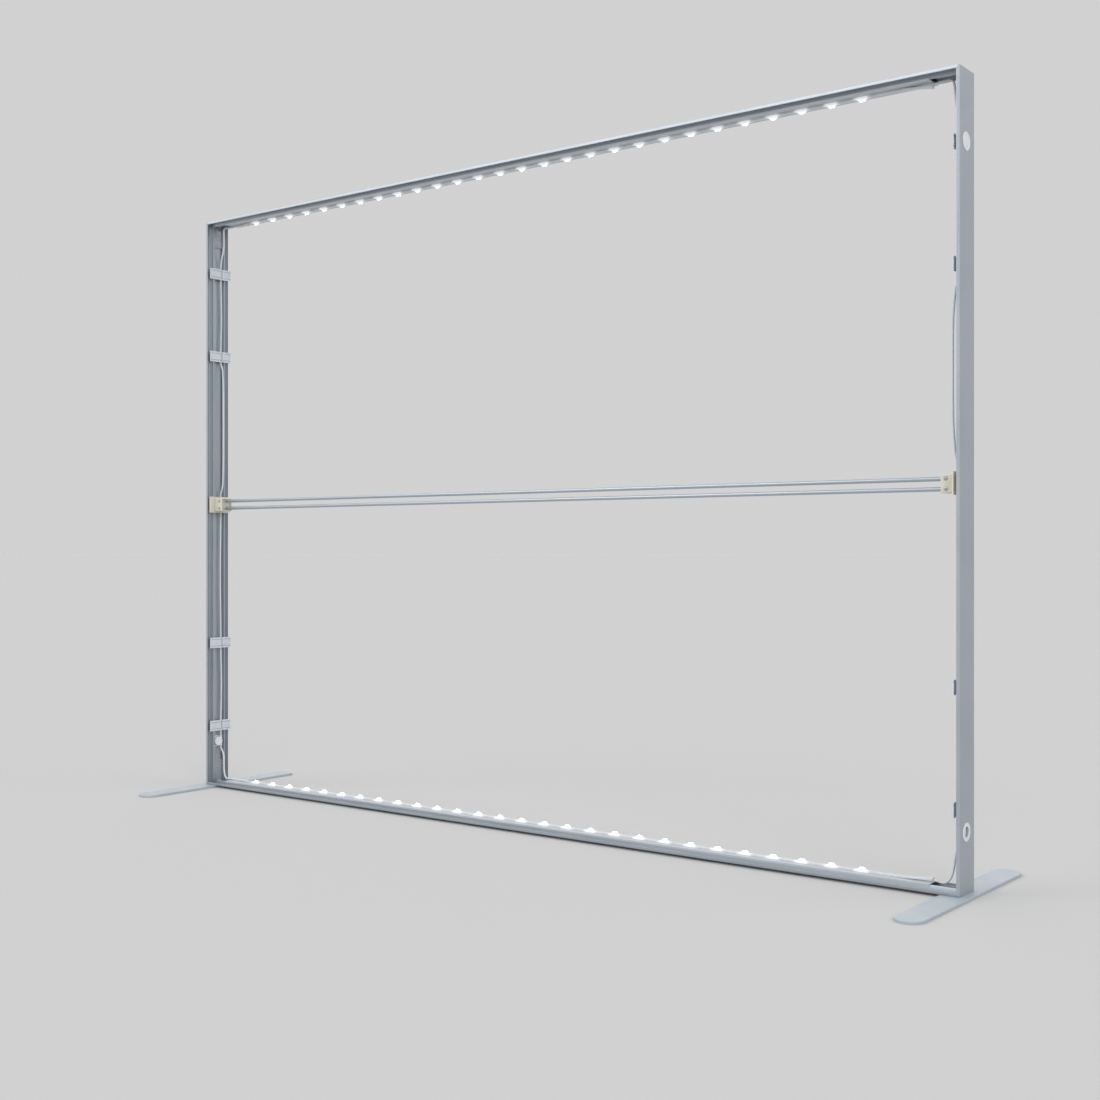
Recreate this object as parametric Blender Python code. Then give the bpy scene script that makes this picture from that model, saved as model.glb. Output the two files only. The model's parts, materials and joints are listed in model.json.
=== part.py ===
"""Lightbox display wall: a free-standing, edge-lit frame for stretched fabric prints.

Units are metres, +Z is up, the front faces -Y, and the origin lies on the floor under the middle
of the frame. A side of the frame is modelled in its own coordinates: u runs along the side, y is
the depth and c is the distance inward from the side's outer face. The object of each piece then
turns u and c into place, so the four sides share their section, clips, bars and fits.
"""
import math

import bmesh
import bpy
from mathutils import Vector

# Overall sizes
WIDTH = 3.000
HEIGHT = 2.150
DEPTH = 0.100

# Clearances
FIT = 0.0003
OVERRUN = 0.001
MITRE_GAP = FIT / math.sqrt(2.0)

# Extruded section: outer wall, edge lips and bead slots
WALL = 0.0026
EDGE_ROUND = 0.0012
EDGE_STEPS = 2
LIP_HEIGHT = 0.0086
LIP_THICK = 0.0024
BEAD_SLOT = 0.0036
SLOT_WALL = 0.0018
SLOT_WALL_HEIGHT = 0.0072

# Extruded section: the two ribs with their hooks, and the key slot between them
RIB_SETBACK = 0.0215
RIB_THICK = 0.0024
RIB_HEIGHT = 0.0170
HOOK_REACH = 0.0015
HOOK_THICK = 0.0018
KEY_THICK = 0.0040
KEY_FLANGE_REACH = 0.0040
KEY_FLANGE_THICK = 0.0018
CHANNEL_HALF = DEPTH / 2 - RIB_SETBACK - RIB_THICK
KEY_BOTTOM = WALL + FIT
KEY_TOP = KEY_BOTTOM + KEY_THICK

# Feet and their bolts
FOOT_LENGTH = 0.720
FOOT_WIDTH = 0.080
FOOT_THICK = 0.008
FOOT_EDGE = 0.0010
FOOT_ROUND_STEPS = 12
FOOT_INSET = 0.015
BOLT_RADIUS = 0.0040
BOLT_HEAD_RADIUS = 0.0080
BOLT_HEAD_LIFT = 0.0006
BOLT_HEAD_RIM = 0.0008
BOLT_TIP = 0.0008
BOLT_STEPS = 20

# Heights of the frame above the floor
BASE = FOOT_THICK + FIT
TOP = BASE + HEIGHT
MIDDLE = BASE + HEIGHT / 2

# Corner keys and their set screws
KEY_LEG = 0.090
KEY_BOSS_RADIUS = 0.0085
KEY_BOSS_HEIGHT = 0.0075
KEY_SCREW_PLACE = 0.060
KEY_SCREW_RADIUS = 0.0030
KEY_SCREW_LENGTH = 0.0060
KEY_SCREW_HEX = 0.0016
KEY_SCREW_HEX_DEPTH = 0.0022
KEY_SCREW_STEPS = 12
HEX_STEPS = 6

# Lamp carriers, snapped over the ribs of the top and bottom rails
CARRIER_INSET = 0.090
CARRIER_SHEET = 0.0016
CARRIER_EDGE = 0.0060
CARRIER_TOP = RIB_HEIGHT + FIT + CARRIER_SHEET

# Lamp bars
LAMP_PITCH = 0.0916
LAMPS_PER_BAR = 7
BAR_WIDTH = 0.0140
BAR_HEIGHT = 0.0050
BAR_CHAMFER = 0.0010
BAR_BOTTOM = CARRIER_TOP + FIT
BAR_SPAN = LAMP_PITCH * LAMPS_PER_BAR
ROW_START = 0.185
ROW_END_LEAST = 0.190
BARS_PER_RAIL = int((WIDTH - ROW_START - ROW_END_LEAST) // BAR_SPAN)
LENS_LENGTH = 0.0260
LENS_WIDTH = 0.0110
LENS_HEIGHT = 0.0056
LENS_CORNER = 0.0030
LENS_INSET = 0.0022
LENS_SEAT = 0.0005
LENS_SHOULDER_SHARE = 0.55

# Feed bars at the right ends of the lamp rows, whose free ends stand off the carrier
FEED_END = 0.0912
FEED_HEIGHT = 0.0044
FEED_FLAT_SHARE = 0.35
FEED_LIFT = {"bottom": 0.0066, "top": 0.0104}
FEED_STEPS = 6
FEED_BOSS_RADIUS = 0.0038
FEED_BOSS_LENGTH = 0.0050
FEED_BOSS_RISE = 0.0042
FEED_LUG_WIDTH = 0.0060
FEED_LUG_SINK = 0.0010
BOSS_STEPS = 10

# Lead plugs at the left ends of the lamp rows
PLUG_LENGTH = 0.0220
PLUG_WIDTH = 0.0120
PLUG_HEIGHT = 0.0078
PLUG_CHAMFER = 0.0012

# Leads, clipped in the channels of the posts
LEAD_RADIUS = 0.0033
LEAD_DEPTH = 0.0134
LEAD_PLACE = 0.0100
LEAD_WAVE = 0.0024
LEAD_DENSE_STEPS = 24
LEAD_TURN = math.radians(6.0)
LEAD_STEP = 0.060
LEAD_SHORT_STEP = 0.008
LEAD_STUB = 0.006
LEAD_BOW = {"right": 0.0286, "left": 0.0150}
LEAD_BOW_SHARES = ((0.048, 0.67), (0.10, 0.81), (0.18, 0.94), (0.28, 1.00), (0.47, 1.01),
                   (0.66, 1.00), (0.78, 0.96), (0.87, 0.85), (0.945, 0.67))
LEAD_ENTRY = 0.006
LEAD_PLAY = 0.012

# Cable clips
CLIP_TALL = 0.040
CLIP_SHEET = 0.0030
CLIP_FRONT_MARGIN = 0.0050
CLIP_MARGIN = 0.0020
CLIP_TAB = 0.0016
CLIP_TAB_RISE = 0.0065
CLIP_WALL = 0.0016
CLIP_LEG_END = 0.0114
CLIP_BARB = 0.0014
CLIP_BARB_RIM = 0.0008
CLIP_GROOVE_PLACE = 0.0125
CLIP_GROOVE_WIDTH = 0.0018
CLIP_GROOVE_DEPTH = 0.0010
CLIPS_FROM_BOTTOM = (0.222, 0.540)
CLIPS_FROM_TOP = (0.511, 0.194)
CLIP_BOTTOM = RIB_HEIGHT + FIT
CLIP_TOP = CLIP_BOTTOM + CLIP_SHEET

# Crossbar
CROSSBAR_DROP = 0.0052
ROD_RADIUS = 0.0060
ROD_WALL = 0.0012
ROD_SPACING = 0.0270
ROD_STEPS = 16
CLAMP_TALL = 0.061
CLAMP_SHEET = 0.0036
CLAMP_TOP = CLIP_BOTTOM + CLAMP_SHEET
CLAMP_BLOCK = 0.050
CLAMP_END = 0.061
CLAMP_ROOT = 0.0005
CLAMP_RIM = 0.0040
CLAMP_RECESS = 0.0080
CLAMP_EDGE = 0.0020
COLLAR_WALL = 0.0026
COLLAR_STEPS = 16
SOCKET_DEPTH = 0.0240
CLAMP_SCREW_PLACE = 0.0470
CLAMP_SCREW_RADIUS = 0.0020
CLAMP_SCREW_HEAD = 0.0056
CLAMP_SCREW_RISE = 0.0026
CLAMP_SCREW_DOME_SHARE = 0.7
CLAMP_SCREW_STEPS = 12

# Cable holes in the posts, with their caps and sockets
HOLE_RADIUS = 0.0220
HOLE_SHIFT = -0.0040
HOLE_STEPS = 24
CAP_FROM_TOP = 0.190
SOCKET_FROM_BOTTOM = 0.162
FLANGE_RADIUS = 0.0250
FLANGE_THICK = 0.0018
FLANGE_CHAMFER = 0.0008
SKIRT_DEPTH = 0.0066
SKIRT_WALL = 0.0018
SOCKET_MOUTH = 0.0150
SOCKET_FLOOR = 0.0060
HOUSING_RADIUS = 0.0170
HOUSING_DEPTH = 0.0200
CONTACT_RADIUS = 0.0016
CONTACT_CIRCLE = 0.0070
CONTACT_DEPTH = 0.0060
CONTACT_COUNT = 3
CONTACT_STEPS = 8
ENTRY_RADIUS = 0.0046
ENTRY_REACH = 0.0210

# How each side of the frame turns, from u along X and c up
SIDE_TURN = {
    "bottom": (0.0, 0.0, 0.0),
    "top": (math.pi, 0.0, 0.0),
    "right": (0.0, -math.pi / 2, 0.0),
    "left": (0.0, math.pi / 2, 0.0),
}
POST_SIGN = {"left": -1, "right": 1}


def clear_objects():
    """Removes whatever the scene holds, so the model starts empty."""
    for item in list(bpy.data.objects):
        bpy.data.objects.remove(item, do_unlink=True)


def make_material(name, colour, roughness, metallic):
    """One Principled material of plain values."""
    material = bpy.data.materials.new(name)
    material.use_nodes = True
    shader = material.node_tree.nodes["Principled BSDF"]
    shader.inputs["Base Color"].default_value = (*colour, 1.0)
    shader.inputs["Roughness"].default_value = roughness
    shader.inputs["Metallic"].default_value = metallic
    return material


def coated_aluminium(name):
    """Pale silver-grey coating of the extrusions."""
    return make_material(name, (0.62, 0.64, 0.66), 0.38, 0.75)


def bare_aluminium(name):
    """Mill-finish aluminium of keys, carriers and rods."""
    return make_material(name, (0.70, 0.71, 0.72), 0.32, 0.9)


def white_plastic(name):
    """White moulded plastic of clips, caps and sockets."""
    return make_material(name, (0.80, 0.81, 0.82), 0.45, 0.0)


def natural_plastic(name):
    """Uncoloured, slightly yellow plastic of the crossbar's clamps."""
    return make_material(name, (0.60, 0.58, 0.50), 0.42, 0.0)


def lamp_plastic(name):
    """White board and clear lenses of the lamp bars."""
    return make_material(name, (0.90, 0.91, 0.93), 0.30, 0.0)


def lead_sheath(name):
    """White sheath of the leads."""
    return make_material(name, (0.78, 0.79, 0.80), 0.50, 0.0)


def plated_steel(name):
    """Zinc-plated steel of the screws and bolts."""
    return make_material(name, (0.66, 0.66, 0.65), 0.30, 1.0)


def coated_steel(name):
    """Silver-grey powder coat of the feet."""
    return make_material(name, (0.58, 0.60, 0.62), 0.50, 0.6)


def new_object(name, bm, smooth_degrees=None):
    """Turns a bmesh into an object with its faces pointing out."""
    bmesh.ops.recalc_face_normals(bm, faces=bm.faces)
    mesh = bpy.data.meshes.new(name)
    bm.to_mesh(mesh)
    bm.free()
    if smooth_degrees is not None:
        mesh.shade_smooth()
        mesh.set_sharp_from_angle(angle=math.radians(smooth_degrees))
    item = bpy.data.objects.new(name, mesh)
    bpy.context.scene.collection.objects.link(item)
    return item


def combine(target, tool, operation):
    """Applies one exact Boolean to the target and removes the tool."""
    modifier = target.modifiers.new("join", "BOOLEAN")
    modifier.operation = operation
    modifier.solver = "EXACT"
    modifier.object = tool
    graph = bpy.context.evaluated_depsgraph_get()
    mesh = bpy.data.meshes.new_from_object(target.evaluated_get(graph))
    target.modifiers.clear()
    target.data = mesh
    bpy.data.objects.remove(tool, do_unlink=True)
    return target


def prism(name, outline, low, high, axis):
    """Extrudes a closed outline between two places on one axis.

    The outline's two values run along the other two axes, in X, Y, Z order.
    """
    others = [index for index in range(3) if index != axis]
    bm = bmesh.new()
    corners = []
    for first, second in outline:
        place = [0.0, 0.0, 0.0]
        place[others[0]] = first
        place[others[1]] = second
        place[axis] = low
        corners.append(bm.verts.new(place))
    face = bm.faces.new(corners)
    grown = bmesh.ops.extrude_face_region(bm, geom=[face])
    for vertex in grown["geom"]:
        if isinstance(vertex, bmesh.types.BMVert):
            vertex.co[axis] = high
    return new_object(name, bm)


def block(name, low, high):
    """A plain box between two corners."""
    outline = ((low[0], low[1]), (high[0], low[1]), (high[0], high[1]), (low[0], high[1]))
    return prism(name, outline, low[2], high[2], 2)


def turned(name, profile, steps, smooth_degrees=35.0):
    """Spins a profile of (radius, height) points, which starts and ends on the axis, round Z."""
    bm = bmesh.new()
    points = [bm.verts.new((radius, 0.0, height)) for radius, height in profile]
    edges = [bm.edges.new(pair) for pair in zip(points, points[1:])]
    bmesh.ops.spin(bm, geom=points + edges, cent=(0, 0, 0), axis=(0, 0, 1), dvec=(0, 0, 0),
                   angle=2 * math.pi, steps=steps, use_merge=False)
    bmesh.ops.remove_doubles(bm, verts=bm.verts, dist=FIT / 100)
    return new_object(name, bm, smooth_degrees)


def rod_solid(name, radius, start, end, axis, steps):
    """A cylinder of constant radius along one axis, from start to end."""
    others = [index for index in range(3) if index != axis]
    outline = []
    for step in range(steps):
        angle = 2 * math.pi * step / steps
        outline.append((start[others[0]] + radius * math.cos(angle),
                        start[others[1]] + radius * math.sin(angle)))
    return prism(name, outline, start[axis], end[axis], axis)


def add_loft(bm, rings):
    """Adds one closed solid through rings of corners that all run the same way round."""
    levels = [[bm.verts.new(corner) for corner in ring] for ring in rings]
    for lower, upper in zip(levels, levels[1:]):
        for index in range(len(lower)):
            following = (index + 1) % len(lower)
            bm.faces.new((lower[index], lower[following], upper[following], upper[index]))
    bm.faces.new(levels[0])
    bm.faces.new(levels[-1])


def finish(item, name, material, parent):
    """Names a piece, gives it its own material and hangs it in its assembly."""
    item.name = name
    item.data.name = name
    item.data.materials.clear()
    item.data.materials.append(material)
    item.parent = parent
    return item


def copy_of(source, name, material, parent):
    """A further piece of the same shape."""
    item = bpy.data.objects.new(name, source.data.copy())
    bpy.context.scene.collection.objects.link(item)
    return finish(item, name, material, parent)


def place_on_side(item, side, along):
    """Puts a piece made in u, y, c on a side, at a place along it."""
    places = {
        "bottom": (along, 0.0, BASE),
        "top": (along, 0.0, TOP),
        "right": (WIDTH / 2, 0.0, along),
        "left": (-WIDTH / 2, 0.0, along),
    }
    item.location = places[side]
    item.rotation_euler = SIDE_TURN[side]
    return item


def assembly(name, location):
    """An empty that carries the pieces which move together."""
    empty = bpy.data.objects.new(name, None)
    empty.location = location
    bpy.context.scene.collection.objects.link(empty)
    return empty


def rounded_corner():
    """The outer front edge of the section, as a short arc from the outer wall to the lip."""
    points = []
    for step in range(EDGE_STEPS + 1):
        angle = math.pi * 1.5 - math.pi / 2 * step / EDGE_STEPS
        points.append((EDGE_ROUND + EDGE_ROUND * math.cos(angle),
                       EDGE_ROUND + EDGE_ROUND * math.sin(angle)))
    return points


def half_section():
    """The front half of the section, from the outer wall round to the channel's floor."""
    slot_far = LIP_THICK + BEAD_SLOT
    rib_far = RIB_SETBACK + RIB_THICK
    flange_top = KEY_TOP + FIT + KEY_FLANGE_THICK
    return rounded_corner() + [
        (0.0, LIP_HEIGHT),
        (LIP_THICK, LIP_HEIGHT),
        (LIP_THICK, WALL),
        (slot_far, WALL),
        (slot_far, SLOT_WALL_HEIGHT),
        (slot_far + SLOT_WALL, SLOT_WALL_HEIGHT),
        (slot_far + SLOT_WALL, WALL),
        (RIB_SETBACK, WALL),
        (RIB_SETBACK, RIB_HEIGHT),
        (rib_far + HOOK_REACH, RIB_HEIGHT),
        (rib_far + HOOK_REACH, RIB_HEIGHT - HOOK_THICK),
        (rib_far, RIB_HEIGHT - HOOK_THICK),
        (rib_far, flange_top),
        (rib_far + KEY_FLANGE_REACH, flange_top),
        (rib_far + KEY_FLANGE_REACH, KEY_TOP + FIT),
        (rib_far, KEY_TOP + FIT),
        (rib_far, WALL),
    ]


def section():
    """The whole section as (y, c) points: two equal halves, back to back."""
    front = half_section()
    back = [(DEPTH - depth, inward) for depth, inward in reversed(front)]
    return [(depth - DEPTH / 2, inward) for depth, inward in front + back]


def mitred_side(name, length):
    """One side of the frame: the section run along u, with both ends cut at 45 degrees."""
    bm = bmesh.new()
    corners = [bm.verts.new((inward + MITRE_GAP - length / 2, y, inward)) for y, inward in section()]
    face = bm.faces.new(corners)
    grown = bmesh.ops.extrude_face_region(bm, geom=[face])
    for vertex in grown["geom"]:
        if isinstance(vertex, bmesh.types.BMVert):
            vertex.co.x = -vertex.co.x
    return new_object(name, bm)


def drill_side(item, u, y, radius, steps):
    """Drills a round hole through a side's outer wall."""
    drill = rod_solid("drill", radius, (u, y, -OVERRUN), (u, y, WALL + OVERRUN), 2, steps)
    return combine(item, drill, "DIFFERENCE")


def make_rails(parent):
    """The top rail, and the bottom rail with the holes for the feet's bolts."""
    top = finish(mitred_side("rail", WIDTH), "rail_top", coated_aluminium("rail_top_coat"), parent)
    place_on_side(top, "top", 0.0)
    bottom = mitred_side("rail", WIDTH)
    for sign in (-1, 1):
        bottom = drill_side(bottom, sign * (WIDTH / 2 - FOOT_INSET), 0.0, BOLT_RADIUS + FIT, BOLT_STEPS)
    finish(bottom, "rail_bottom", coated_aluminium("rail_bottom_coat"), parent)
    place_on_side(bottom, "bottom", 0.0)


def make_posts(parent):
    """The two posts, each with a capped hole near its top and a socket hole near its foot."""
    for side, sign in POST_SIGN.items():
        post = mitred_side("post", HEIGHT)
        cap_place = HEIGHT / 2 - CAP_FROM_TOP
        socket_place = SOCKET_FROM_BOTTOM - HEIGHT / 2
        for place in (cap_place, socket_place):
            post = drill_side(post, sign * place, HOLE_SHIFT, HOLE_RADIUS, HOLE_STEPS)
        finish(post, f"post_{side}", coated_aluminium(f"post_{side}_coat"), parent)
        place_on_side(post, side, MIDDLE)


def key_shape():
    """An L-shaped key for the lower right corner, with a threaded boss and two screw holes."""
    outline = (
        (-KEY_LEG, KEY_BOTTOM),
        (-KEY_BOTTOM, KEY_BOTTOM),
        (-KEY_BOTTOM, KEY_LEG),
        (-KEY_TOP, KEY_LEG),
        (-KEY_TOP, KEY_TOP),
        (-KEY_LEG, KEY_TOP),
    )
    half = CHANNEL_HALF - FIT
    key = prism("key", outline, -half, half, 1)
    boss_foot = (-FOOT_INSET, 0.0, KEY_BOTTOM + KEY_THICK / 2)
    boss_head = (-FOOT_INSET, 0.0, KEY_TOP + KEY_BOSS_HEIGHT)
    boss = rod_solid("boss", KEY_BOSS_RADIUS, boss_foot, boss_head, 2, BOLT_STEPS)
    key = combine(key, boss, "UNION")
    low = (-FOOT_INSET, 0.0, 0.0)
    high = (-FOOT_INSET, 0.0, KEY_TOP + KEY_BOSS_HEIGHT + OVERRUN)
    key = combine(key, rod_solid("drill", BOLT_RADIUS + FIT, low, high, 2, BOLT_STEPS), "DIFFERENCE")
    bore = KEY_SCREW_RADIUS + FIT
    low = (-KEY_SCREW_PLACE, 0.0, 0.0)
    high = (-KEY_SCREW_PLACE, 0.0, KEY_TOP + OVERRUN)
    key = combine(key, rod_solid("drill", bore, low, high, 2, KEY_SCREW_STEPS), "DIFFERENCE")
    low = (-KEY_TOP - OVERRUN, 0.0, KEY_SCREW_PLACE)
    high = (0.0, 0.0, KEY_SCREW_PLACE)
    return combine(key, rod_solid("drill", bore, low, high, 0, KEY_SCREW_STEPS), "DIFFERENCE")


def key_screw_shape():
    """A set screw standing on its tip, with a hexagon socket in its top."""
    profile = ((0.0, 0.0), (KEY_SCREW_RADIUS, 0.0), (KEY_SCREW_RADIUS, KEY_SCREW_LENGTH),
               (0.0, KEY_SCREW_LENGTH))
    screw = turned("screw", profile, KEY_SCREW_STEPS)
    low = (0.0, 0.0, KEY_SCREW_LENGTH - KEY_SCREW_HEX_DEPTH)
    high = (0.0, 0.0, KEY_SCREW_LENGTH + OVERRUN)
    return combine(screw, rod_solid("hex", KEY_SCREW_HEX, low, high, 2, HEX_STEPS), "DIFFERENCE")


def make_corner_keys(parent):
    """Four equal keys in the corners, each held by one set screw in each leg."""
    key_source = key_shape()
    screw_source = key_screw_shape()
    corners = {
        "bottom_right": ((WIDTH / 2, 0.0, BASE), (0.0, 0.0, 0.0)),
        "bottom_left": ((-WIDTH / 2, 0.0, BASE), (0.0, 0.0, math.pi)),
        "top_right": ((WIDTH / 2, 0.0, TOP), (math.pi, 0.0, 0.0)),
        "top_left": ((-WIDTH / 2, 0.0, TOP), (0.0, math.pi, 0.0)),
    }
    for corner, (location, turn) in corners.items():
        key = copy_of(key_source, f"corner_key_{corner}", bare_aluminium(f"key_{corner}_metal"), parent)
        key.location = location
        key.rotation_euler = turn
        rail_name = f"key_screw_{corner}_rail"
        rail_screw = copy_of(screw_source, rail_name, plated_steel(f"{rail_name}_steel"), key)
        rail_screw.location = (-KEY_SCREW_PLACE, 0.0, KEY_BOTTOM)
        post_name = f"key_screw_{corner}_post"
        post_screw = copy_of(screw_source, post_name, plated_steel(f"{post_name}_steel"), key)
        post_screw.location = (-KEY_BOTTOM, 0.0, KEY_SCREW_PLACE)
        post_screw.rotation_euler = (0.0, -math.pi / 2, 0.0)
    bpy.data.objects.remove(key_source, do_unlink=True)
    bpy.data.objects.remove(screw_source, do_unlink=True)


def carrier_shape():
    """A shallow channel of sheet that closes a rail's ribs and carries the lamp bars."""
    inner = DEPTH / 2 - RIB_SETBACK + FIT
    outer = inner + CARRIER_SHEET
    under = RIB_HEIGHT + FIT
    low = CARRIER_TOP - CARRIER_EDGE
    outline = ((-outer, CARRIER_TOP), (-outer, low), (-inner, low), (-inner, under),
               (inner, under), (inner, low), (outer, low), (outer, CARRIER_TOP))
    half = WIDTH / 2 - CARRIER_INSET
    return prism("carrier", outline, -half, half, 0)


def make_lamp_carriers(parent):
    """One carrier on the bottom rail and one on the top rail."""
    for side in ("bottom", "top"):
        name = f"lamp_carrier_{side}"
        carrier = finish(carrier_shape(), name, bare_aluminium(f"{name}_metal"), parent)
        place_on_side(carrier, side, 0.0)


def lens_ring(centre, inset, height):
    """One eight-cornered ring of a lens, with its corners cut off."""
    half_length = LENS_LENGTH / 2 - inset
    half_width = LENS_WIDTH / 2 - inset
    cut = LENS_CORNER - inset / 2
    ring = []
    for sign_u, sign_y, near_end in ((1, -1, False), (1, -1, True), (1, 1, True), (1, 1, False),
                                     (-1, 1, False), (-1, 1, True), (-1, -1, True), (-1, -1, False)):
        u = half_length if near_end else half_length - cut
        y = half_width - cut if near_end else half_width
        ring.append((centre + sign_u * u, sign_y * y, height))
    return ring


def add_lens(bm, centre):
    """Adds one closed lens: a straight shoulder and a sloping crown."""
    base = BAR_BOTTOM + BAR_HEIGHT
    shoulder = base + LENS_HEIGHT * LENS_SHOULDER_SHARE
    add_loft(bm, [
        lens_ring(centre, 0.0, base - LENS_SEAT),
        lens_ring(centre, 0.0, shoulder),
        lens_ring(centre, LENS_INSET, base + LENS_HEIGHT),
    ])


def bar_outline(width, height):
    """Section of a bar that stands on the carrier, with its two free edges chamfered."""
    half = width / 2
    top = BAR_BOTTOM + height
    return ((-half, BAR_BOTTOM), (half, BAR_BOTTOM), (half, top - BAR_CHAMFER),
            (half - BAR_CHAMFER, top), (BAR_CHAMFER - half, top), (-half, top - BAR_CHAMFER))


def lamp_bar_shape():
    """A bar with its row of lenses moulded on."""
    half_span = BAR_SPAN / 2 - FIT / 2
    bar = prism("bar", bar_outline(BAR_WIDTH, BAR_HEIGHT), -half_span, half_span, 0)
    bm = bmesh.new()
    for index in range(LAMPS_PER_BAR):
        add_lens(bm, LAMP_PITCH * (index - (LAMPS_PER_BAR - 1) / 2))
    return combine(bar, new_object("lenses", bm), "UNION")


def make_lamp_bars(parent):
    """A row of bars, end to end, on each carrier."""
    source = lamp_bar_shape()
    for side in ("bottom", "top"):
        for index in range(BARS_PER_RAIL):
            name = f"lamp_bar_{side}_{index + 1}"
            bar = copy_of(source, name, lamp_plastic(f"{name}_plastic"), parent)
            centre = lamp_row_end(-1) + BAR_SPAN * index + BAR_SPAN / 2
            place_on_side(bar, side, centre)
    bpy.data.objects.remove(source, do_unlink=True)


def lamp_row_end(sign):
    """The place along X where a row of lamp bars ends, on the left (-1) or the right (1)."""
    start = ROW_START - WIDTH / 2
    return start if sign < 0 else start + BAR_SPAN * BARS_PER_RAIL


def feed_lift(side, share):
    """How far a rail's feed bar stands off the carrier at a share of its length."""
    free = max(0.0, share - FEED_FLAT_SHARE) / (1.0 - FEED_FLAT_SHARE)
    return FEED_LIFT[side] * free * free


def feed_exit():
    """Where the lead leaves a feed bar: its X, and its distance in from the rail's face."""
    return WIDTH / 2 - FEED_END + FEED_BOSS_LENGTH, BAR_BOTTOM + FEED_BOSS_RISE


def feed_bar_shape(side):
    """A blank bar that curves off its carrier towards the free end, with a lug and a lead entry."""
    length = WIDTH / 2 - FEED_END - lamp_row_end(1) - FIT
    rings = []
    for step in range(FEED_STEPS + 1):
        share = step / FEED_STEPS
        lift = feed_lift(side, share)
        rings.append([(length * share, y, c + lift) for y, c in bar_outline(BAR_WIDTH, FEED_HEIGHT)])
    bm = bmesh.new()
    add_loft(bm, rings)
    bar = new_object("feed_bar", bm)
    middle = feed_exit()[1]
    start = (length - FEED_BOSS_LENGTH, 0.0, middle)
    end = (length + FEED_BOSS_LENGTH, 0.0, middle)
    boss = rod_solid("boss", FEED_BOSS_RADIUS, start, end, 0, BOSS_STEPS)
    lug_top = BAR_BOTTOM + FEED_LIFT[side] + FEED_LUG_SINK
    lug_low = (length - FEED_BOSS_LENGTH, -FEED_LUG_WIDTH / 2, middle)
    lug = block("lug", lug_low, (length, FEED_LUG_WIDTH / 2, lug_top))
    return combine(combine(bar, boss, "UNION"), lug, "UNION")


def make_feed_bars(parent):
    """A feed bar at the right end of each lamp row."""
    for side in ("bottom", "top"):
        name = f"feed_bar_{side}"
        bar = feed_bar_shape(side)
        finish(bar, name, lamp_plastic(f"{name}_plastic"), parent)
        place_on_side(bar, side, lamp_row_end(1) + FIT)


def plug_shape():
    """A small two-part plug body, chamfered along its length."""
    half = PLUG_WIDTH / 2
    top = BAR_BOTTOM + PLUG_HEIGHT
    low = BAR_BOTTOM
    outline = (
        (-half, low + PLUG_CHAMFER),
        (PLUG_CHAMFER - half, low),
        (half - PLUG_CHAMFER, low),
        (half, low + PLUG_CHAMFER),
        (half, top - PLUG_CHAMFER),
        (half - PLUG_CHAMFER, top),
        (PLUG_CHAMFER - half, top),
        (-half, top - PLUG_CHAMFER),
    )
    return prism("plug", outline, -PLUG_LENGTH, 0.0, 0)


def make_lead_plugs(parent):
    """A plug at the left end of each lamp row."""
    for side in ("bottom", "top"):
        name = f"lead_plug_{side}"
        plug = finish(plug_shape(), name, white_plastic(f"{name}_plastic"), parent)
        place_on_side(plug, side, lamp_row_end(-1) - FIT)


def snap_leg(sign):
    """A snap leg's points, from its outer root round its barb to its inner root."""
    outer = CHANNEL_HALF - HOOK_REACH - FIT
    inner = outer - CLIP_WALL
    catch = RIB_HEIGHT - HOOK_THICK - FIT
    return [
        (sign * outer, CLIP_BOTTOM),
        (sign * outer, catch),
        (sign * (outer + CLIP_BARB), catch),
        (sign * (outer + CLIP_BARB), catch - CLIP_BARB_RIM),
        (sign * outer, CLIP_LEG_END),
        (sign * inner, CLIP_LEG_END),
        (sign * inner, CLIP_BOTTOM),
    ]


def clip_outline():
    """Clip section: a plate over both ribs, a finger tab, two snap legs and the lead's cradle."""
    front = CLIP_FRONT_MARGIN - DEPTH / 2
    rear = DEPTH / 2 - CLIP_MARGIN
    tab_top = CLIP_TOP + CLIP_TAB_RISE
    bore = LEAD_RADIUS + FIT
    floor = LEAD_DEPTH - bore
    near = LEAD_PLACE - bore
    far = LEAD_PLACE + bore
    return (
        [(front, CLIP_BOTTOM)] + snap_leg(-1)
        + [(near - CLIP_WALL, CLIP_BOTTOM), (near - CLIP_WALL, floor - CLIP_WALL)]
        + [(far + CLIP_WALL, floor - CLIP_WALL), (far + CLIP_WALL, CLIP_BOTTOM)]
        + list(reversed(snap_leg(1))) + [(rear, CLIP_BOTTOM), (rear, tab_top)]
        + [(rear - CLIP_TAB, tab_top), (rear - CLIP_TAB, CLIP_TOP)]
        + [(far, CLIP_TOP), (far, floor), (near, floor), (near, CLIP_TOP), (front, CLIP_TOP)]
    )


def clip_shape():
    """A cable clip with two fine grooves along its wings, from its front edge to its tab."""
    clip = prism("clip", clip_outline(), -CLIP_TALL / 2, CLIP_TALL / 2, 0)
    tab = DEPTH / 2 - CLIP_MARGIN - CLIP_TAB
    for sign in (-1, 1):
        centre = sign * CLIP_GROOVE_PLACE
        low = (centre - CLIP_GROOVE_WIDTH / 2, -DEPTH / 2, CLIP_TOP - CLIP_GROOVE_DEPTH)
        high = (centre + CLIP_GROOVE_WIDTH / 2, tab, CLIP_TOP + OVERRUN)
        clip = combine(clip, block("groove", low, high), "DIFFERENCE")
    return clip


def clip_heights():
    """Heights of the clips, from the lowest up."""
    lower = [BASE + height for height in CLIPS_FROM_BOTTOM]
    upper = [TOP - drop for drop in CLIPS_FROM_TOP]
    return lower + upper


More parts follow.
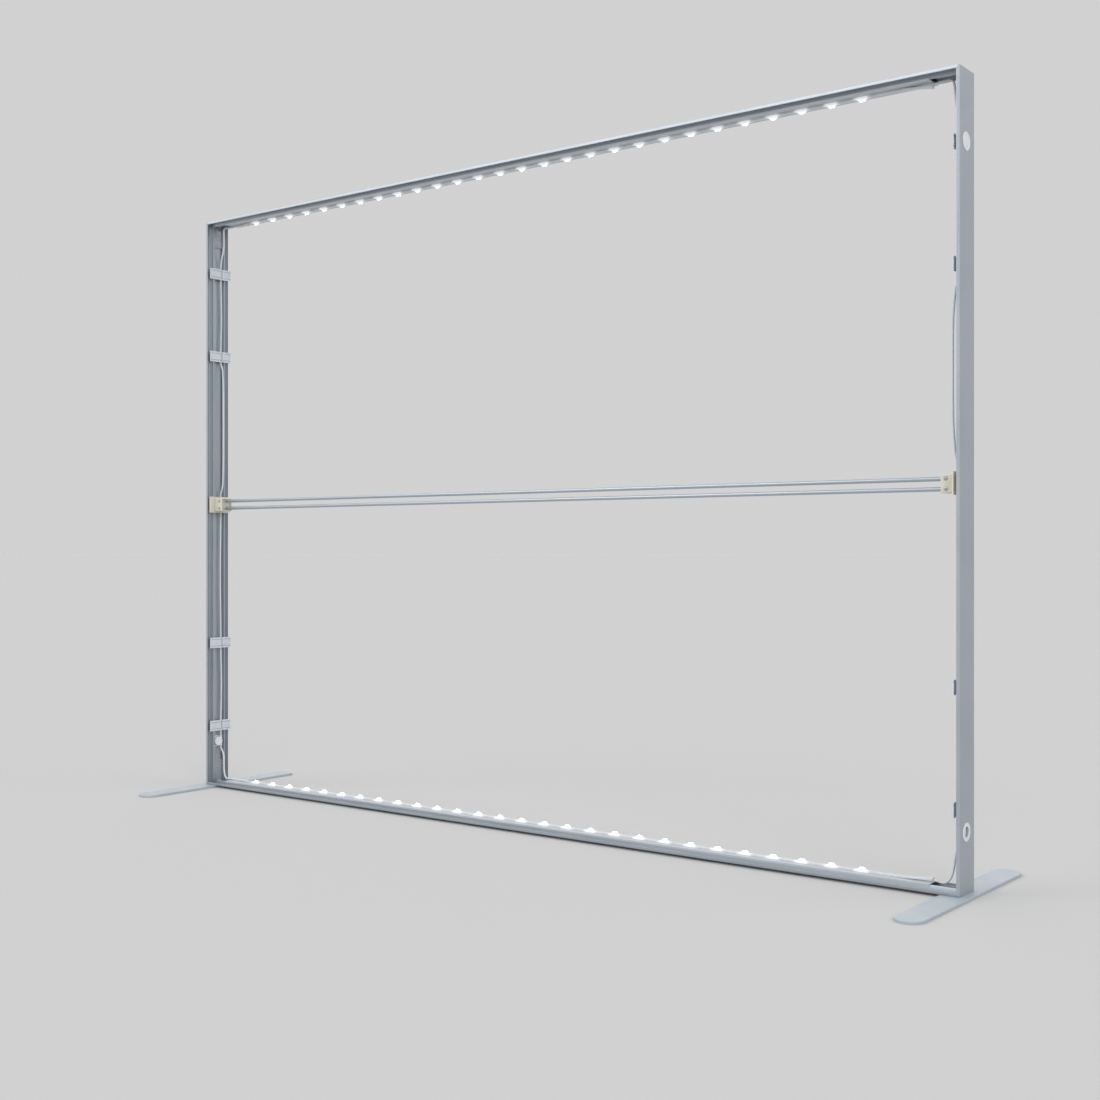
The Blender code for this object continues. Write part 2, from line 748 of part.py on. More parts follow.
def make_cable_clips(parent):
    """The same clips on both posts, numbered upward."""
    source = clip_shape()
    for side in POST_SIGN:
        for index, height in enumerate(clip_heights()):
            name = f"cable_clip_{side}_{index + 1}"
            clip = copy_of(source, name, white_plastic(f"{name}_plastic"), parent)
            place_on_side(clip, side, height)
    bpy.data.objects.remove(source, do_unlink=True)


def clamp_shape():
    """Crossbar clamp: a snap plate, and a block whose recessed end holds two rod sockets."""
    edge = DEPTH / 2 - CLIP_MARGIN
    outline = (
        [(-edge, CLIP_BOTTOM)] + snap_leg(-1) + list(reversed(snap_leg(1)))
        + [(edge, CLIP_BOTTOM), (edge, CLAMP_TOP), (-edge, CLAMP_TOP)]
    )
    clamp = prism("clamp", outline, -CLAMP_TALL / 2, CLAMP_TALL / 2, 0)
    half = CLAMP_BLOCK / 2
    cut = half - CLAMP_EDGE
    corners = ((-half, -cut), (-cut, -half), (cut, -half), (half, -cut),
               (half, cut), (cut, half), (-cut, half), (-half, cut))
    clamp = combine(clamp, prism("body", corners, CLAMP_TOP - CLAMP_ROOT, CLAMP_END, 2), "UNION")
    inner = half - CLAMP_RIM
    low = (-inner, -inner, CLAMP_END - CLAMP_RECESS)
    high = (inner, inner, CLAMP_END + OVERRUN)
    clamp = combine(clamp, block("recess", low, high), "DIFFERENCE")
    for sign in (-1, 1):
        u = sign * ROD_SPACING / 2
        start = (u, 0.0, CLAMP_END - CLAMP_RECESS - CLAMP_ROOT)
        end = (u, 0.0, CLAMP_END - CLAMP_RIM / 2)
        radius = ROD_RADIUS + FIT + COLLAR_WALL
        clamp = combine(clamp, rod_solid("collar", radius, start, end, 2, COLLAR_STEPS), "UNION")
    for sign in (-1, 1):
        u = sign * ROD_SPACING / 2
        start = (u, 0.0, CLAMP_END - SOCKET_DEPTH)
        end = (u, 0.0, CLAMP_END + OVERRUN)
        clamp = combine(clamp, rod_solid("socket", ROD_RADIUS + FIT, start, end, 2, ROD_STEPS), "DIFFERENCE")
        start = (u, -half - OVERRUN, CLAMP_SCREW_PLACE)
        end = (u, 0.0, CLAMP_SCREW_PLACE)
        bore = CLAMP_SCREW_RADIUS + FIT
        clamp = combine(clamp, rod_solid("drill", bore, start, end, 1, CLAMP_SCREW_STEPS), "DIFFERENCE")
    return clamp


def clamp_screw_shape():
    """A domed screw, its head's seat at zero and its shank running down Z to the rod."""
    reach = CLAMP_BLOCK / 2 - ROD_RADIUS - FIT
    profile = (
        (0.0, -reach),
        (CLAMP_SCREW_RADIUS, -reach),
        (CLAMP_SCREW_RADIUS, FIT),
        (CLAMP_SCREW_HEAD, FIT),
        (CLAMP_SCREW_HEAD, CLAMP_SCREW_RISE / 2),
        (CLAMP_SCREW_HEAD * CLAMP_SCREW_DOME_SHARE, CLAMP_SCREW_RISE),
        (0.0, CLAMP_SCREW_RISE),
    )
    return turned("clamp_screw", profile, CLAMP_SCREW_STEPS)


def rod_shape():
    """A thin tube that reaches into both clamps."""
    half = WIDTH / 2 - CLAMP_END + SOCKET_DEPTH - FIT
    rod = rod_solid("rod", ROD_RADIUS, (-half, 0.0, 0.0), (half, 0.0, 0.0), 0, ROD_STEPS)
    far = half + OVERRUN
    bore = rod_solid("bore", ROD_RADIUS - ROD_WALL, (-far, 0.0, 0.0), (far, 0.0, 0.0), 0, ROD_STEPS)
    rod = combine(rod, bore, "DIFFERENCE")
    rod.data.shade_smooth()
    rod.data.set_sharp_from_angle(angle=math.radians(35.0))
    return rod


def make_crossbar(parent):
    """Two rods between two clamps, carried by an empty that slides up and down the posts."""
    rod_source = rod_shape()
    for level, sign in (("upper", 1), ("lower", -1)):
        name = f"crossbar_rod_{level}"
        rod = copy_of(rod_source, name, bare_aluminium(f"{name}_metal"), parent)
        rod.location = (0.0, 0.0, sign * ROD_SPACING / 2)
    bpy.data.objects.remove(rod_source, do_unlink=True)
    clamp_source = clamp_shape()
    screw_source = clamp_screw_shape()
    for side, side_sign in POST_SIGN.items():
        name = f"crossbar_clamp_{side}"
        clamp = copy_of(clamp_source, name, natural_plastic(f"{name}_plastic"), parent)
        clamp.location = (side_sign * WIDTH / 2, 0.0, 0.0)
        clamp.rotation_euler = SIDE_TURN[side]
        for level, sign in (("upper", 1), ("lower", -1)):
            screw_name = f"clamp_screw_{side}_{level}"
            screw = copy_of(screw_source, screw_name, plated_steel(f"{screw_name}_steel"), parent)
            x = side_sign * (WIDTH / 2 - CLAMP_SCREW_PLACE)
            screw.location = (x, -CLAMP_BLOCK / 2, sign * ROD_SPACING / 2)
            screw.rotation_euler = (math.pi / 2, 0.0, 0.0)
    bpy.data.objects.remove(clamp_source, do_unlink=True)
    bpy.data.objects.remove(screw_source, do_unlink=True)


def foot_outline():
    """The foot from above: a long bar with half-round ends."""
    radius = FOOT_WIDTH / 2
    reach = FOOT_LENGTH / 2 - radius
    points = []
    for end, start_angle in ((1, 0.0), (-1, math.pi)):
        for step in range(FOOT_ROUND_STEPS + 1):
            angle = start_angle + math.pi * step / FOOT_ROUND_STEPS
            points.append((radius * math.cos(angle), end * reach + radius * math.sin(angle)))
    return points


def foot_shape():
    """A flat foot with an eased upper edge and a countersunk hole for its bolt."""
    foot = prism("foot", foot_outline(), 0.0, FOOT_THICK, 2)
    bm = bmesh.new()
    bm.from_mesh(foot.data)
    rim = [edge for edge in bm.edges if all(vertex.co.z > FOOT_THICK / 2 for vertex in edge.verts)]
    bmesh.ops.bevel(bm, geom=rim, offset=FOOT_EDGE, offset_type="OFFSET", segments=1, profile=0.5,
                    affect="EDGES")
    bm.to_mesh(foot.data)
    bm.free()
    sink = BOLT_HEAD_LIFT + BOLT_HEAD_RIM
    drop = BOLT_HEAD_RADIUS - BOLT_RADIUS
    profile = (
        (0.0, -OVERRUN),
        (BOLT_HEAD_RADIUS + FIT, -OVERRUN),
        (BOLT_HEAD_RADIUS + FIT, sink + FIT),
        (BOLT_RADIUS + FIT, sink + drop + FIT),
        (BOLT_RADIUS + FIT, FOOT_THICK + OVERRUN),
        (0.0, FOOT_THICK + OVERRUN),
    )
    return combine(foot, turned("countersink", profile, BOLT_STEPS), "DIFFERENCE")


def bolt_shape():
    """The countersunk bolt that a foot turns on, from just above the floor into the key's boss."""
    sink = BOLT_HEAD_LIFT + BOLT_HEAD_RIM
    end = BASE + KEY_TOP + KEY_BOSS_HEIGHT
    profile = (
        (0.0, BOLT_HEAD_LIFT),
        (BOLT_HEAD_RADIUS, BOLT_HEAD_LIFT),
        (BOLT_HEAD_RADIUS, sink),
        (BOLT_RADIUS, sink + BOLT_HEAD_RADIUS - BOLT_RADIUS),
        (BOLT_RADIUS, end - BOLT_TIP),
        (BOLT_RADIUS - BOLT_TIP, end),
        (0.0, end),
    )
    return turned("bolt", profile, BOLT_STEPS)


def make_feet(parent):
    """A foot under each post, free to turn about its bolt."""
    foot_source = foot_shape()
    bolt_source = bolt_shape()
    for side, sign in POST_SIGN.items():
        x = sign * (WIDTH / 2 - FOOT_INSET)
        foot = copy_of(foot_source, f"foot_{side}", coated_steel(f"foot_{side}_coat"), None)
        foot.location = (x, 0.0, 0.0)
        bolt = copy_of(bolt_source, f"foot_bolt_{side}", plated_steel(f"foot_bolt_{side}_steel"), parent)
        bolt.location = (x, 0.0, 0.0)
    bpy.data.objects.remove(foot_source, do_unlink=True)
    bpy.data.objects.remove(bolt_source, do_unlink=True)


def cap_shape():
    """A snap-in cap: a thin flange outside the post and a hollow skirt inside the hole."""
    skirt = HOLE_RADIUS - FIT
    profile = (
        (0.0, -FLANGE_THICK),
        (FLANGE_RADIUS - FLANGE_CHAMFER, -FLANGE_THICK),
        (FLANGE_RADIUS, FLANGE_CHAMFER - FLANGE_THICK),
        (FLANGE_RADIUS, -FIT),
        (skirt, -FIT),
        (skirt, SKIRT_DEPTH),
        (skirt - SKIRT_WALL, SKIRT_DEPTH),
        (skirt - SKIRT_WALL, 0.0),
        (0.0, 0.0),
    )
    return turned("cap", profile, HOLE_STEPS)


def make_hole_caps():
    """A cap in the upper hole of each post, with its origin on the hole's axis."""
    source = cap_shape()
    for side, sign in POST_SIGN.items():
        name = f"hole_cap_{side}"
        cap = copy_of(source, name, white_plastic(f"{name}_plastic"), None)
        cap.location = (sign * WIDTH / 2, HOLE_SHIFT, TOP - CAP_FROM_TOP)
        cap.rotation_euler = SIDE_TURN[side]
    bpy.data.objects.remove(source, do_unlink=True)


def socket_shape():
    """A panel socket: a flanged cup in the hole, a rear housing and a lead entry up and down."""
    sleeve = HOLE_RADIUS - FIT
    profile = (
        (0.0, SOCKET_FLOOR),
        (SOCKET_MOUTH, SOCKET_FLOOR),
        (SOCKET_MOUTH, -FLANGE_THICK),
        (FLANGE_RADIUS - FLANGE_CHAMFER, -FLANGE_THICK),
        (FLANGE_RADIUS, FLANGE_CHAMFER - FLANGE_THICK),
        (FLANGE_RADIUS, -FIT),
        (sleeve, -FIT),
        (sleeve, SKIRT_DEPTH),
        (HOUSING_RADIUS, SKIRT_DEPTH),
        (HOUSING_RADIUS, HOUSING_DEPTH),
        (0.0, HOUSING_DEPTH),
    )
    socket = turned("socket", profile, HOLE_STEPS)
    y = LEAD_PLACE - HOLE_SHIFT
    start = (-ENTRY_REACH, y, LEAD_DEPTH)
    end = (ENTRY_REACH, y, LEAD_DEPTH)
    socket = combine(socket, rod_solid("entry", ENTRY_RADIUS, start, end, 0, BOSS_STEPS), "UNION")
    for index in range(CONTACT_COUNT):
        angle = 2 * math.pi * index / CONTACT_COUNT
        u = CONTACT_CIRCLE * math.cos(angle)
        y = CONTACT_CIRCLE * math.sin(angle)
        low = (u, y, SOCKET_FLOOR - OVERRUN)
        high = (u, y, SOCKET_FLOOR + CONTACT_DEPTH)
        drill = rod_solid("contact", CONTACT_RADIUS, low, high, 2, CONTACT_STEPS)
        socket = combine(socket, drill, "DIFFERENCE")
    return socket


def make_sockets(parent):
    """The power inlet in the right post and the link outlet in the left post."""
    source = socket_shape()
    for name, side in (("power_inlet", "right"), ("link_outlet", "left")):
        socket = copy_of(source, name, white_plastic(f"{name}_plastic"), parent)
        x = POST_SIGN[side] * WIDTH / 2
        socket.location = (x, HOLE_SHIFT, BASE + SOCKET_FROM_BOTTOM)
        socket.rotation_euler = SIDE_TURN[side]
    bpy.data.objects.remove(source, do_unlink=True)


def smooth_route(points):
    """Points read from one smooth curve through the route: close in bends, wide on straights.

    The first and the last stretch of the route are kept straight, where a lead enters a piece.
    """
    route = [Vector(point) for point in points]
    tangents = []
    for index in range(len(route)):
        before = route[max(index - 1, 0)]
        after = route[min(index + 1, len(route) - 1)]
        tangents.append((after - before).normalized())
    dense = []
    for index in range(len(route) - 1):
        start, end = route[index], route[index + 1]
        span = (end - start).length
        leaving = tangents[index] * span
        arriving = tangents[index + 1] * span
        for step in range(LEAD_DENSE_STEPS):
            t = step / LEAD_DENSE_STEPS
            blend = t * t * (3 - 2 * t)
            bend = t * (1 - t) * (leaving * (1 - t) - arriving * t)
            dense.append(start.lerp(end, blend) + bend)
    dense.append(route[-1])
    kept = [dense[0]]
    heading = dense[1] - dense[0]
    last = len(dense) - 1
    straight_ends = (LEAD_DENSE_STEPS, last - LEAD_DENSE_STEPS)
    for index in range(1, last):
        reach = (dense[index] - kept[-1]).length
        onward = dense[index + 1] - dense[index]
        bent = heading.angle(onward) > LEAD_TURN and reach > LEAD_SHORT_STEP
        if index in straight_ends or reach > LEAD_STEP or bent:
            kept.append(dense[index])
            heading = onward
    return kept + [dense[-1]]


def make_lead(name, points, parent):
    """One sheathed lead: a round tube along its route, with closed ends."""
    data = bpy.data.curves.new(name, "CURVE")
    data.dimensions = "3D"
    spline = data.splines.new("POLY")
    route = smooth_route(points)
    spline.points.add(len(route) - 1)
    for slot, point in zip(spline.points, route):
        slot.co = (*point, 1.0)
    data.bevel_depth = LEAD_RADIUS
    data.bevel_resolution = 2
    data.use_fill_caps = True
    data.materials.append(lead_sheath(f"{name}_sheath"))
    item = bpy.data.objects.new(name, data)
    bpy.context.scene.collection.objects.link(item)
    item.parent = parent


def socket_entry(sign):
    """Height at which a lead meets the socket, from above (1) or below (-1)."""
    return BASE + SOCKET_FROM_BOTTOM + sign * (ENTRY_REACH + FIT)


def held_run(height, tall, beyond):
    """Points that keep a lead straight along a piece that holds it, and a little beyond."""
    reaches = (tall / 2 + beyond, tall / 2, -tall / 2, -tall / 2 - beyond)
    return [(LEAD_DEPTH, LEAD_PLACE, height + reach) for reach in reaches]


def post_run(side):
    """A lead's way down a post, as (c, y, z) points from above the top clip to the socket.

    It lies in the clips' cradles and under the crossbar's clamp, waves a little between clips, and
    bows out of the channel between the clamp and the clip above it.
    """
    lowest, lower, upper, highest = clip_heights()
    crossbar = MIDDLE - CROSSBAR_DROP
    high = upper - CLIP_TALL / 2 - LEAD_ENTRY
    low = crossbar + CLAMP_TALL / 2 + LEAD_PLAY
    points = held_run(highest, CLIP_TALL, LEAD_ENTRY)
    points.append((LEAD_DEPTH, LEAD_PLACE + LEAD_WAVE, (highest + upper) / 2))
    points += held_run(upper, CLIP_TALL, LEAD_ENTRY)
    for along, out in LEAD_BOW_SHARES:
        points.append((LEAD_DEPTH + LEAD_BOW[side] * out, LEAD_PLACE, high + (low - high) * along))
    points += held_run(crossbar, CLAMP_TALL, LEAD_PLAY)
    points.append((LEAD_DEPTH, LEAD_PLACE - LEAD_WAVE, (crossbar + lower) / 2))
    points += held_run(lower, CLIP_TALL, LEAD_ENTRY)
    points.append((LEAD_DEPTH, LEAD_PLACE + LEAD_WAVE, (lower + lowest) / 2))
    points += held_run(lowest, CLIP_TALL, LEAD_ENTRY)[:-1]
    points.append((LEAD_DEPTH, LEAD_PLACE, socket_entry(1)))
    return points


# The leads' corner routes: in from the post's face, depth, and in from the rail's face
TOP_CORNER_ROUTE = (
    (0.0720, 0.0003, 0.0211),
    (0.0620, 0.0010, 0.0206),
    (0.0490, 0.0030, 0.0201),
    (0.0432, 0.0038, 0.0208),
    (0.0396, 0.0044, 0.0232),
    (0.0370, 0.0048, 0.0278),
    (0.0357, 0.0053, 0.0340),
    (0.0350, 0.0064, 0.0441),
    (0.0347, 0.0073, 0.0547),
    (0.0340, 0.0082, 0.0654),
    (0.0331, 0.0090, 0.0761),
    (0.0308, 0.0097, 0.0930),
    (0.0256, 0.0100, 0.1130),
    (0.0183, 0.0100, 0.1340),
)
BOTTOM_CORNER_ROUTE = (
    (0.0720, 0.0000, 0.0206),
    (0.0626, 0.0004, 0.0204),
    (0.0568, 0.0011, 0.0222),
    (0.0510, 0.0020, 0.0266),
    (0.0463, 0.0029, 0.0330),
    (0.0426, 0.0038, 0.0410),
    (0.0395, 0.0047, 0.0520),
    (0.0373, 0.0056, 0.0630),
    (0.0351, 0.0072, 0.0830),
    (0.0323, 0.0090, 0.1030),
    (0.0262, 0.0099, 0.1180),
    (0.0180, 0.0100, 0.1290),
)
LEFT_RAIL_ROUTE = ((0.1400, 0.0000, 0.0227), (0.1080, 0.0006, 0.0226), (0.0920, 0.0006, 0.0227))


def plug_exit():
    """Where a left-hand lead starts: its X, and its distance in from the rail's face."""
    x = lamp_row_end(-1) - FIT - PLUG_LENGTH
    return x, BAR_BOTTOM + PLUG_HEIGHT / 2


def make_leads(parent):
    """The four leads: from each end of each lamp row to the socket in the post on that side."""
    for side, sign in POST_SIGN.items():
        start_x, start_c = feed_exit() if side == "right" else plug_exit()
        start_x += sign * FIT
        rail_route = () if side == "right" else LEFT_RAIL_ROUTE
        for rail, corner_route in (("top", TOP_CORNER_ROUTE), ("bottom", BOTTOM_CORNER_ROUTE)):
            face, inward = (TOP, -1) if rail == "top" else (BASE, 1)
            start_z = face + inward * start_c
            points = [(start_x, 0.0, start_z), (start_x + sign * LEAD_STUB, 0.0, start_z)]
            for c_post, y, c_rail in rail_route + corner_route:
                points.append((sign * (WIDTH / 2 - c_post), y, face + inward * c_rail))
            if rail == "top":
                points += [(sign * (WIDTH / 2 - c), y, z) for c, y, z in post_run(side)]
            else:
                x = sign * (WIDTH / 2 - LEAD_DEPTH)
                points.append((x, LEAD_PLACE, socket_entry(-1) - LEAD_ENTRY))
                points.append((x, LEAD_PLACE, socket_entry(-1)))
            make_lead(f"lead_{rail}_{side}", points, parent)


def build():
    """Builds every piece in its assembly."""
    clear_objects()
    frame = assembly("frame_assembly", (0.0, 0.0, 0.0))
    crossbar = assembly("crossbar_assembly", (0.0, 0.0, MIDDLE - CROSSBAR_DROP))
    make_rails(frame)
    make_posts(frame)
    make_corner_keys(frame)
    make_lamp_carriers(frame)
    make_lamp_bars(frame)
    make_feed_bars(frame)
    make_lead_plugs(frame)
    make_cable_clips(frame)
    make_crossbar(crossbar)
    make_feet(frame)
    make_hole_caps()
    make_sockets(frame)
    make_leads(frame)


build()
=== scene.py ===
"""Looks of the lightbox display wall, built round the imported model.

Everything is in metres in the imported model's own frame: the origin is on the floor under the middle
of the wall, X runs along it towards the power inlet, Y from its front to its back, and Z is up.
"""

import json
import logging
import math
from dataclasses import dataclass
from enum import Enum

import bmesh
import bpy
import numpy as np
from mathutils import Euler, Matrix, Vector

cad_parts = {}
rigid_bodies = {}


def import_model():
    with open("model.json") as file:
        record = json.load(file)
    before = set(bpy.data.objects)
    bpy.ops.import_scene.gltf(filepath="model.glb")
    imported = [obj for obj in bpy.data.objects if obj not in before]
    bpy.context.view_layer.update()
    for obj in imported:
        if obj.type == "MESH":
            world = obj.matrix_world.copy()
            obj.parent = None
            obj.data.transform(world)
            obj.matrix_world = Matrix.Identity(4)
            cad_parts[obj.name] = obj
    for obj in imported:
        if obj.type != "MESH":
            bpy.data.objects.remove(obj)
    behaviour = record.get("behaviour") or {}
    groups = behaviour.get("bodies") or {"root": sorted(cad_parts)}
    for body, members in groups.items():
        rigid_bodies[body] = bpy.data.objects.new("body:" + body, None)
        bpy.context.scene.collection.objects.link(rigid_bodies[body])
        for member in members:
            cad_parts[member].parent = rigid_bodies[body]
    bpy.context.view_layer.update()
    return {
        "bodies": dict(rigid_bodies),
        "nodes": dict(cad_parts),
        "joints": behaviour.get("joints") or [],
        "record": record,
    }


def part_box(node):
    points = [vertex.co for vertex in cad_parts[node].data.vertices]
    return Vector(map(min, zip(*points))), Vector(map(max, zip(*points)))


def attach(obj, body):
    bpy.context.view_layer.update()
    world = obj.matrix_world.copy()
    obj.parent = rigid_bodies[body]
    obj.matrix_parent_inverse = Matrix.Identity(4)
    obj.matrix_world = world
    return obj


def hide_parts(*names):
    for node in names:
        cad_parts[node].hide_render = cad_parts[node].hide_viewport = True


log = logging.getLogger("lightbox")

MERGE_REACH = 1e-6
FRAME: dict = {}

Colour = tuple[float, float, float]
Point = tuple[float, float, float]
Profile = list[tuple[float, float]]
Socket = bpy.types.NodeSocket
Sockets = dict[str, Socket]
Material = bpy.types.Material
Piece = bpy.types.Object


@dataclass(frozen=True)
class Box:
    """A piece's lowest and highest corner."""

    low: Vector
    high: Vector

    @staticmethod
    def of(node: str) -> "Box":
        """The box of one of the model's pieces."""
        return Box(*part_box(node))

    @property
    def centre(self) -> Vector:
        """The middle of the box."""
        return (self.low + self.high) / 2

    @property
    def half(self) -> Vector:
        """Half the box's size."""
        return (self.high - self.low) / 2


class Option(Enum):
    """A choice whose word stands in the names of the model's pieces."""

    @property
    def word(self) -> str:
        """The option's name as the model's pieces have it."""
        return self.name.lower()


class Side(Option):
    """The two posts, by the sign of their X."""

    LEFT = -1
    RIGHT = 1

    @property
    def outward(self) -> Vector:
        """The way out of the post's outer side."""
        return Vector((self.value, 0, 0))

    def face(self, box: Box) -> float:
        """The X of a box's outer face."""
        return box.high.x if self is Side.RIGHT else box.low.x


class Rail(Option):
    """The two rails, by the way in towards the middle of the frame."""

    BOTTOM = 1
    TOP = -1


class Run(Enum):
    """The way in which a piece was drawn or rolled: how far its marks are stretched."""

    ALONG_X = (1.2, 420.0, 420.0)
    ALONG_Z = (420.0, 420.0, 1.2)


# Shader groups: effects that several finishes share


class Graph:
    """A thin hand on one node tree, which adds nodes and joins sockets."""

    def __init__(self, tree: bpy.types.NodeTree) -> None:
        """Takes a material's, a world's or a group's node tree."""
        self.tree = tree

    def add(self, kind: str, settings: dict | None = None, **values: object) -> bpy.types.Node:
        """Adds a node.

        Args:
            kind: its type, without the leading ShaderNode.
            settings: properties of the node itself.
            values: its inputs by name, with _ for a space.

        Returns:
            The new node.
        """
        node = self.tree.nodes.new("ShaderNode" + kind)
        for name, value in (settings or {}).items():
            setattr(node, name, value)
        for name, value in values.items():
            self.feed(node.inputs[name.replace("_", " ")], value)
        return node

    def feed(self, socket: Socket, value: object) -> None:
        """Links a socket to an input, or sets a plain value there.

        Args:
            socket: the input.
            value: a socket or a plain value.
        """
        if isinstance(value, Socket):
            self.tree.links.new(value, socket)
        else:
            socket.default_value = value

    def math(self, operation: str, *terms: object, kind: str = "Math") -> Socket:
        """The result of one Math node, or of another kind that has operations.

        Args:
            operation: what the node does.
            terms: its inputs in order, sockets or values.
            kind: the node's type.

        Returns:
            The result's socket.
        """
        node = self.add(kind, {"operation": operation})
        for socket, term in zip(node.inputs, terms):
            self.feed(socket, term)
        return node.outputs[0]

    def times(self, first: object, *factors: object) -> Socket:
        """The product of sockets and numbers.

        Args:
            first: the first of them.
            factors: the others in order.

        Returns:
            The product's socket.
        """
        for factor in factors:
            first = self.math("MULTIPLY", first, factor)
        return first

    def ramp(self, value: Socket, low: object, high: object, to_low: float = 0.0,
             to_high: float = 1.0) -> Socket:
        """A smooth step: to_low where the value is under low, to_high where it is over high."""
        return self.add("MapRange", {"interpolation_type": "SMOOTHSTEP"}, Value=value, From_Min=low,
                        From_Max=high, To_Min=to_low, To_Max=to_high).outputs[0]

    def mix(self, share: object, *colours: object) -> Socket:
        """One colour turned towards another.

        Args:
            share: how far, from 0 to 1.
            colours: the colour at 0 and the colour at 1.

        Returns:
            The result's socket.
        """
        node = self.add("Mix", {"data_type": "RGBA"}, Factor=share)
        inputs = [socket for socket in node.inputs if socket.type == "RGBA"]
        for socket, colour in zip(inputs, colours):
            self.feed(socket, colour)
        return next(socket for socket in node.outputs if socket.type == "RGBA")

    def noise(self, vector: Socket, scale: object, detail: float = 3.0,
              roughness: float = 0.55) -> Socket:
        """Smooth noise from 0 to 1, with scale in cells a metre and detail in octaves."""
        return self.add("TexNoise", Vector=vector, Scale=scale, Detail=detail,
                        Roughness=roughness).outputs["Fac"]


class Effect:
    """A shader group with named inputs and outputs, built once and placed in many materials.

    Every group has the input Vector, the coordinates that its pattern lies on.
    """

    name = ""
    inputs: tuple[tuple[str, str, object], ...] = ()
    outputs: tuple[str, ...] = ("Mask",)

    @classmethod
    def tree(cls) -> bpy.types.NodeTree:
        """Builds the group on first use.

        Returns:
            The group's tree.
        """
        known = bpy.data.node_groups.get(cls.name)
        if known:
            return known
        tree = bpy.data.node_groups.new(cls.name, "ShaderNodeTree")
        for name, kind, default in (("Vector", "Vector", (0.0, 0.0, 0.0)), *cls.inputs):
            socket = tree.interface.new_socket(name, in_out="INPUT", socket_type="NodeSocket" + kind)
            socket.default_value = default
        for name in cls.outputs:
            tree.interface.new_socket(name, in_out="OUTPUT", socket_type="NodeSocketFloat")
        entry = tree.nodes.new("NodeGroupInput").outputs
        leave = tree.nodes.new("NodeGroupOutput").inputs
        for name, result in cls.wire(Graph(tree), entry).items():
            tree.links.new(result, leave[name])
        return tree

    @classmethod
    def wire(cls, graph: Graph, entry: bpy.types.NodeOutputs) -> Sockets:
        """Builds the group's nodes.

        Args:
            graph: the group's tree.
            entry: the group's inputs.

        Returns:
            The socket behind each output.
        """
        raise NotImplementedError


class DrawnLines(Effect):
    """Fine streaks that a die or a brush leaves along a piece, stretched along its run."""

    name = "drawn_lines"
    inputs = (("Stretch", "Vector", (1.0, 1.0, 1.0)),)
    outputs = ("Mask", "Broad")

    @classmethod
    def wire(cls, graph: Graph, entry: bpy.types.NodeOutputs) -> Sockets:
        """Two noises on stretched coordinates: hairlines, and broader bands of tone.

        Args:
            graph: the group's tree.
            entry: the group's inputs.

        Returns:
            The socket behind each output.
        """
        drawn = graph.math("MULTIPLY", entry["Vector"], entry["Stretch"], kind="VectorMath")
        return {"Mask": graph.ramp(graph.noise(drawn, 6.0, 4.0, 0.7), 0.34, 0.66),
                "Broad": graph.ramp(graph.noise(drawn, 0.55, 2.0), 0.38, 0.62)}


class Mottle(Effect):
    """Slow patches of tone, as handling, anodising or moulding leaves."""

    name = "mottle"
    inputs = (("Scale", "Float", 6.0),)

    @classmethod
    def wire(cls, graph: Graph, entry: bpy.types.NodeOutputs) -> Sockets:
        """One broad noise, bent by a second, then cut to soft patches.

        Args:
            graph: the group's tree.
            entry: the group's inputs.

        Returns:
            The socket behind each output.
        """
        bend = graph.add("TexNoise", Vector=entry["Vector"], Scale=2.0, Detail=1.0)
        bent = graph.math("ADD", entry["Vector"], bend.outputs["Color"], kind="VectorMath")
        return {"Mask": graph.ramp(graph.noise(bent, entry["Scale"], 4.0), 0.36, 0.64)}


class MouldedGrain(Effect):
    """The fine grain of a spark-eroded mould or of sprayed powder: small low bumps."""

    name = "moulded_grain"
    inputs = (("Scale", "Float", 1500.0),)

    @classmethod
    def wire(cls, graph: Graph, entry: bpy.types.NodeOutputs) -> Sockets:
        """Rounded cells mixed with noise half their size.

        Args:
            graph: the group's tree.
            entry: the group's inputs.

        Returns:
            The socket behind each output.
        """
        cells = graph.add("TexVoronoi", {"feature": "SMOOTH_F1"}, Vector=entry["Vector"],
                          Scale=entry["Scale"], Smoothness=0.8)
        fine = graph.noise(entry["Vector"], graph.times(entry["Scale"], 2.0), 2.0)
        low = graph.times(cells.outputs["Distance"], 0.7)
        return {"Mask": graph.math("ADD", low, graph.times(fine, 0.3))}


class EdgeWear(Effect):
    """Rubbed edges of a box-shaped piece: high where two of its faces meet, broken up by noise."""

    name = "edge_wear"
    inputs = (("Centre", "Vector", (0.0, 0.0, 0.0)), ("Half", "Vector", (1.0, 1.0, 1.0)),
              ("Reach", "Float", 0.002), ("Amount", "Float", 0.5))

    @classmethod
    def wire(cls, graph: Graph, entry: bpy.types.NodeOutputs) -> Sockets:
        """The nearness of each pair of faces of the box, taken together and worn unevenly.

        Args:
            graph: the group's tree.
            entry: the group's inputs.

        Returns:
            The socket behind each output.
        """
        from_centre = graph.math("SUBTRACT", entry["Vector"], entry["Centre"], kind="VectorMath")
        away = graph.math("ABSOLUTE", from_centre, kind="VectorMath")
        past_face = graph.math("SUBTRACT", away, entry["Half"], kind="VectorMath")
        inside = graph.add("SeparateXYZ", Vector=past_face)
        start = graph.times(entry["Reach"], -1.0)
        near = [graph.ramp(inside.outputs[axis], start, 0.0) for axis in range(3)]
        pairs = [graph.times(near[a], near[b]) for a, b in ((0, 1), (1, 2), (2, 0))]
        edge = graph.math("MAXIMUM", graph.math("MAXIMUM", pairs[0], pairs[1]), pairs[2])
        patch = graph.ramp(graph.noise(entry["Vector"], 140.0, 5.0, 0.75), 0.44, 0.62)
        worn = graph.times(edge, graph.math("ADD", patch, 0.25), entry["Amount"])
        return {"Mask": graph.math("MINIMUM", worn, 1.0)}


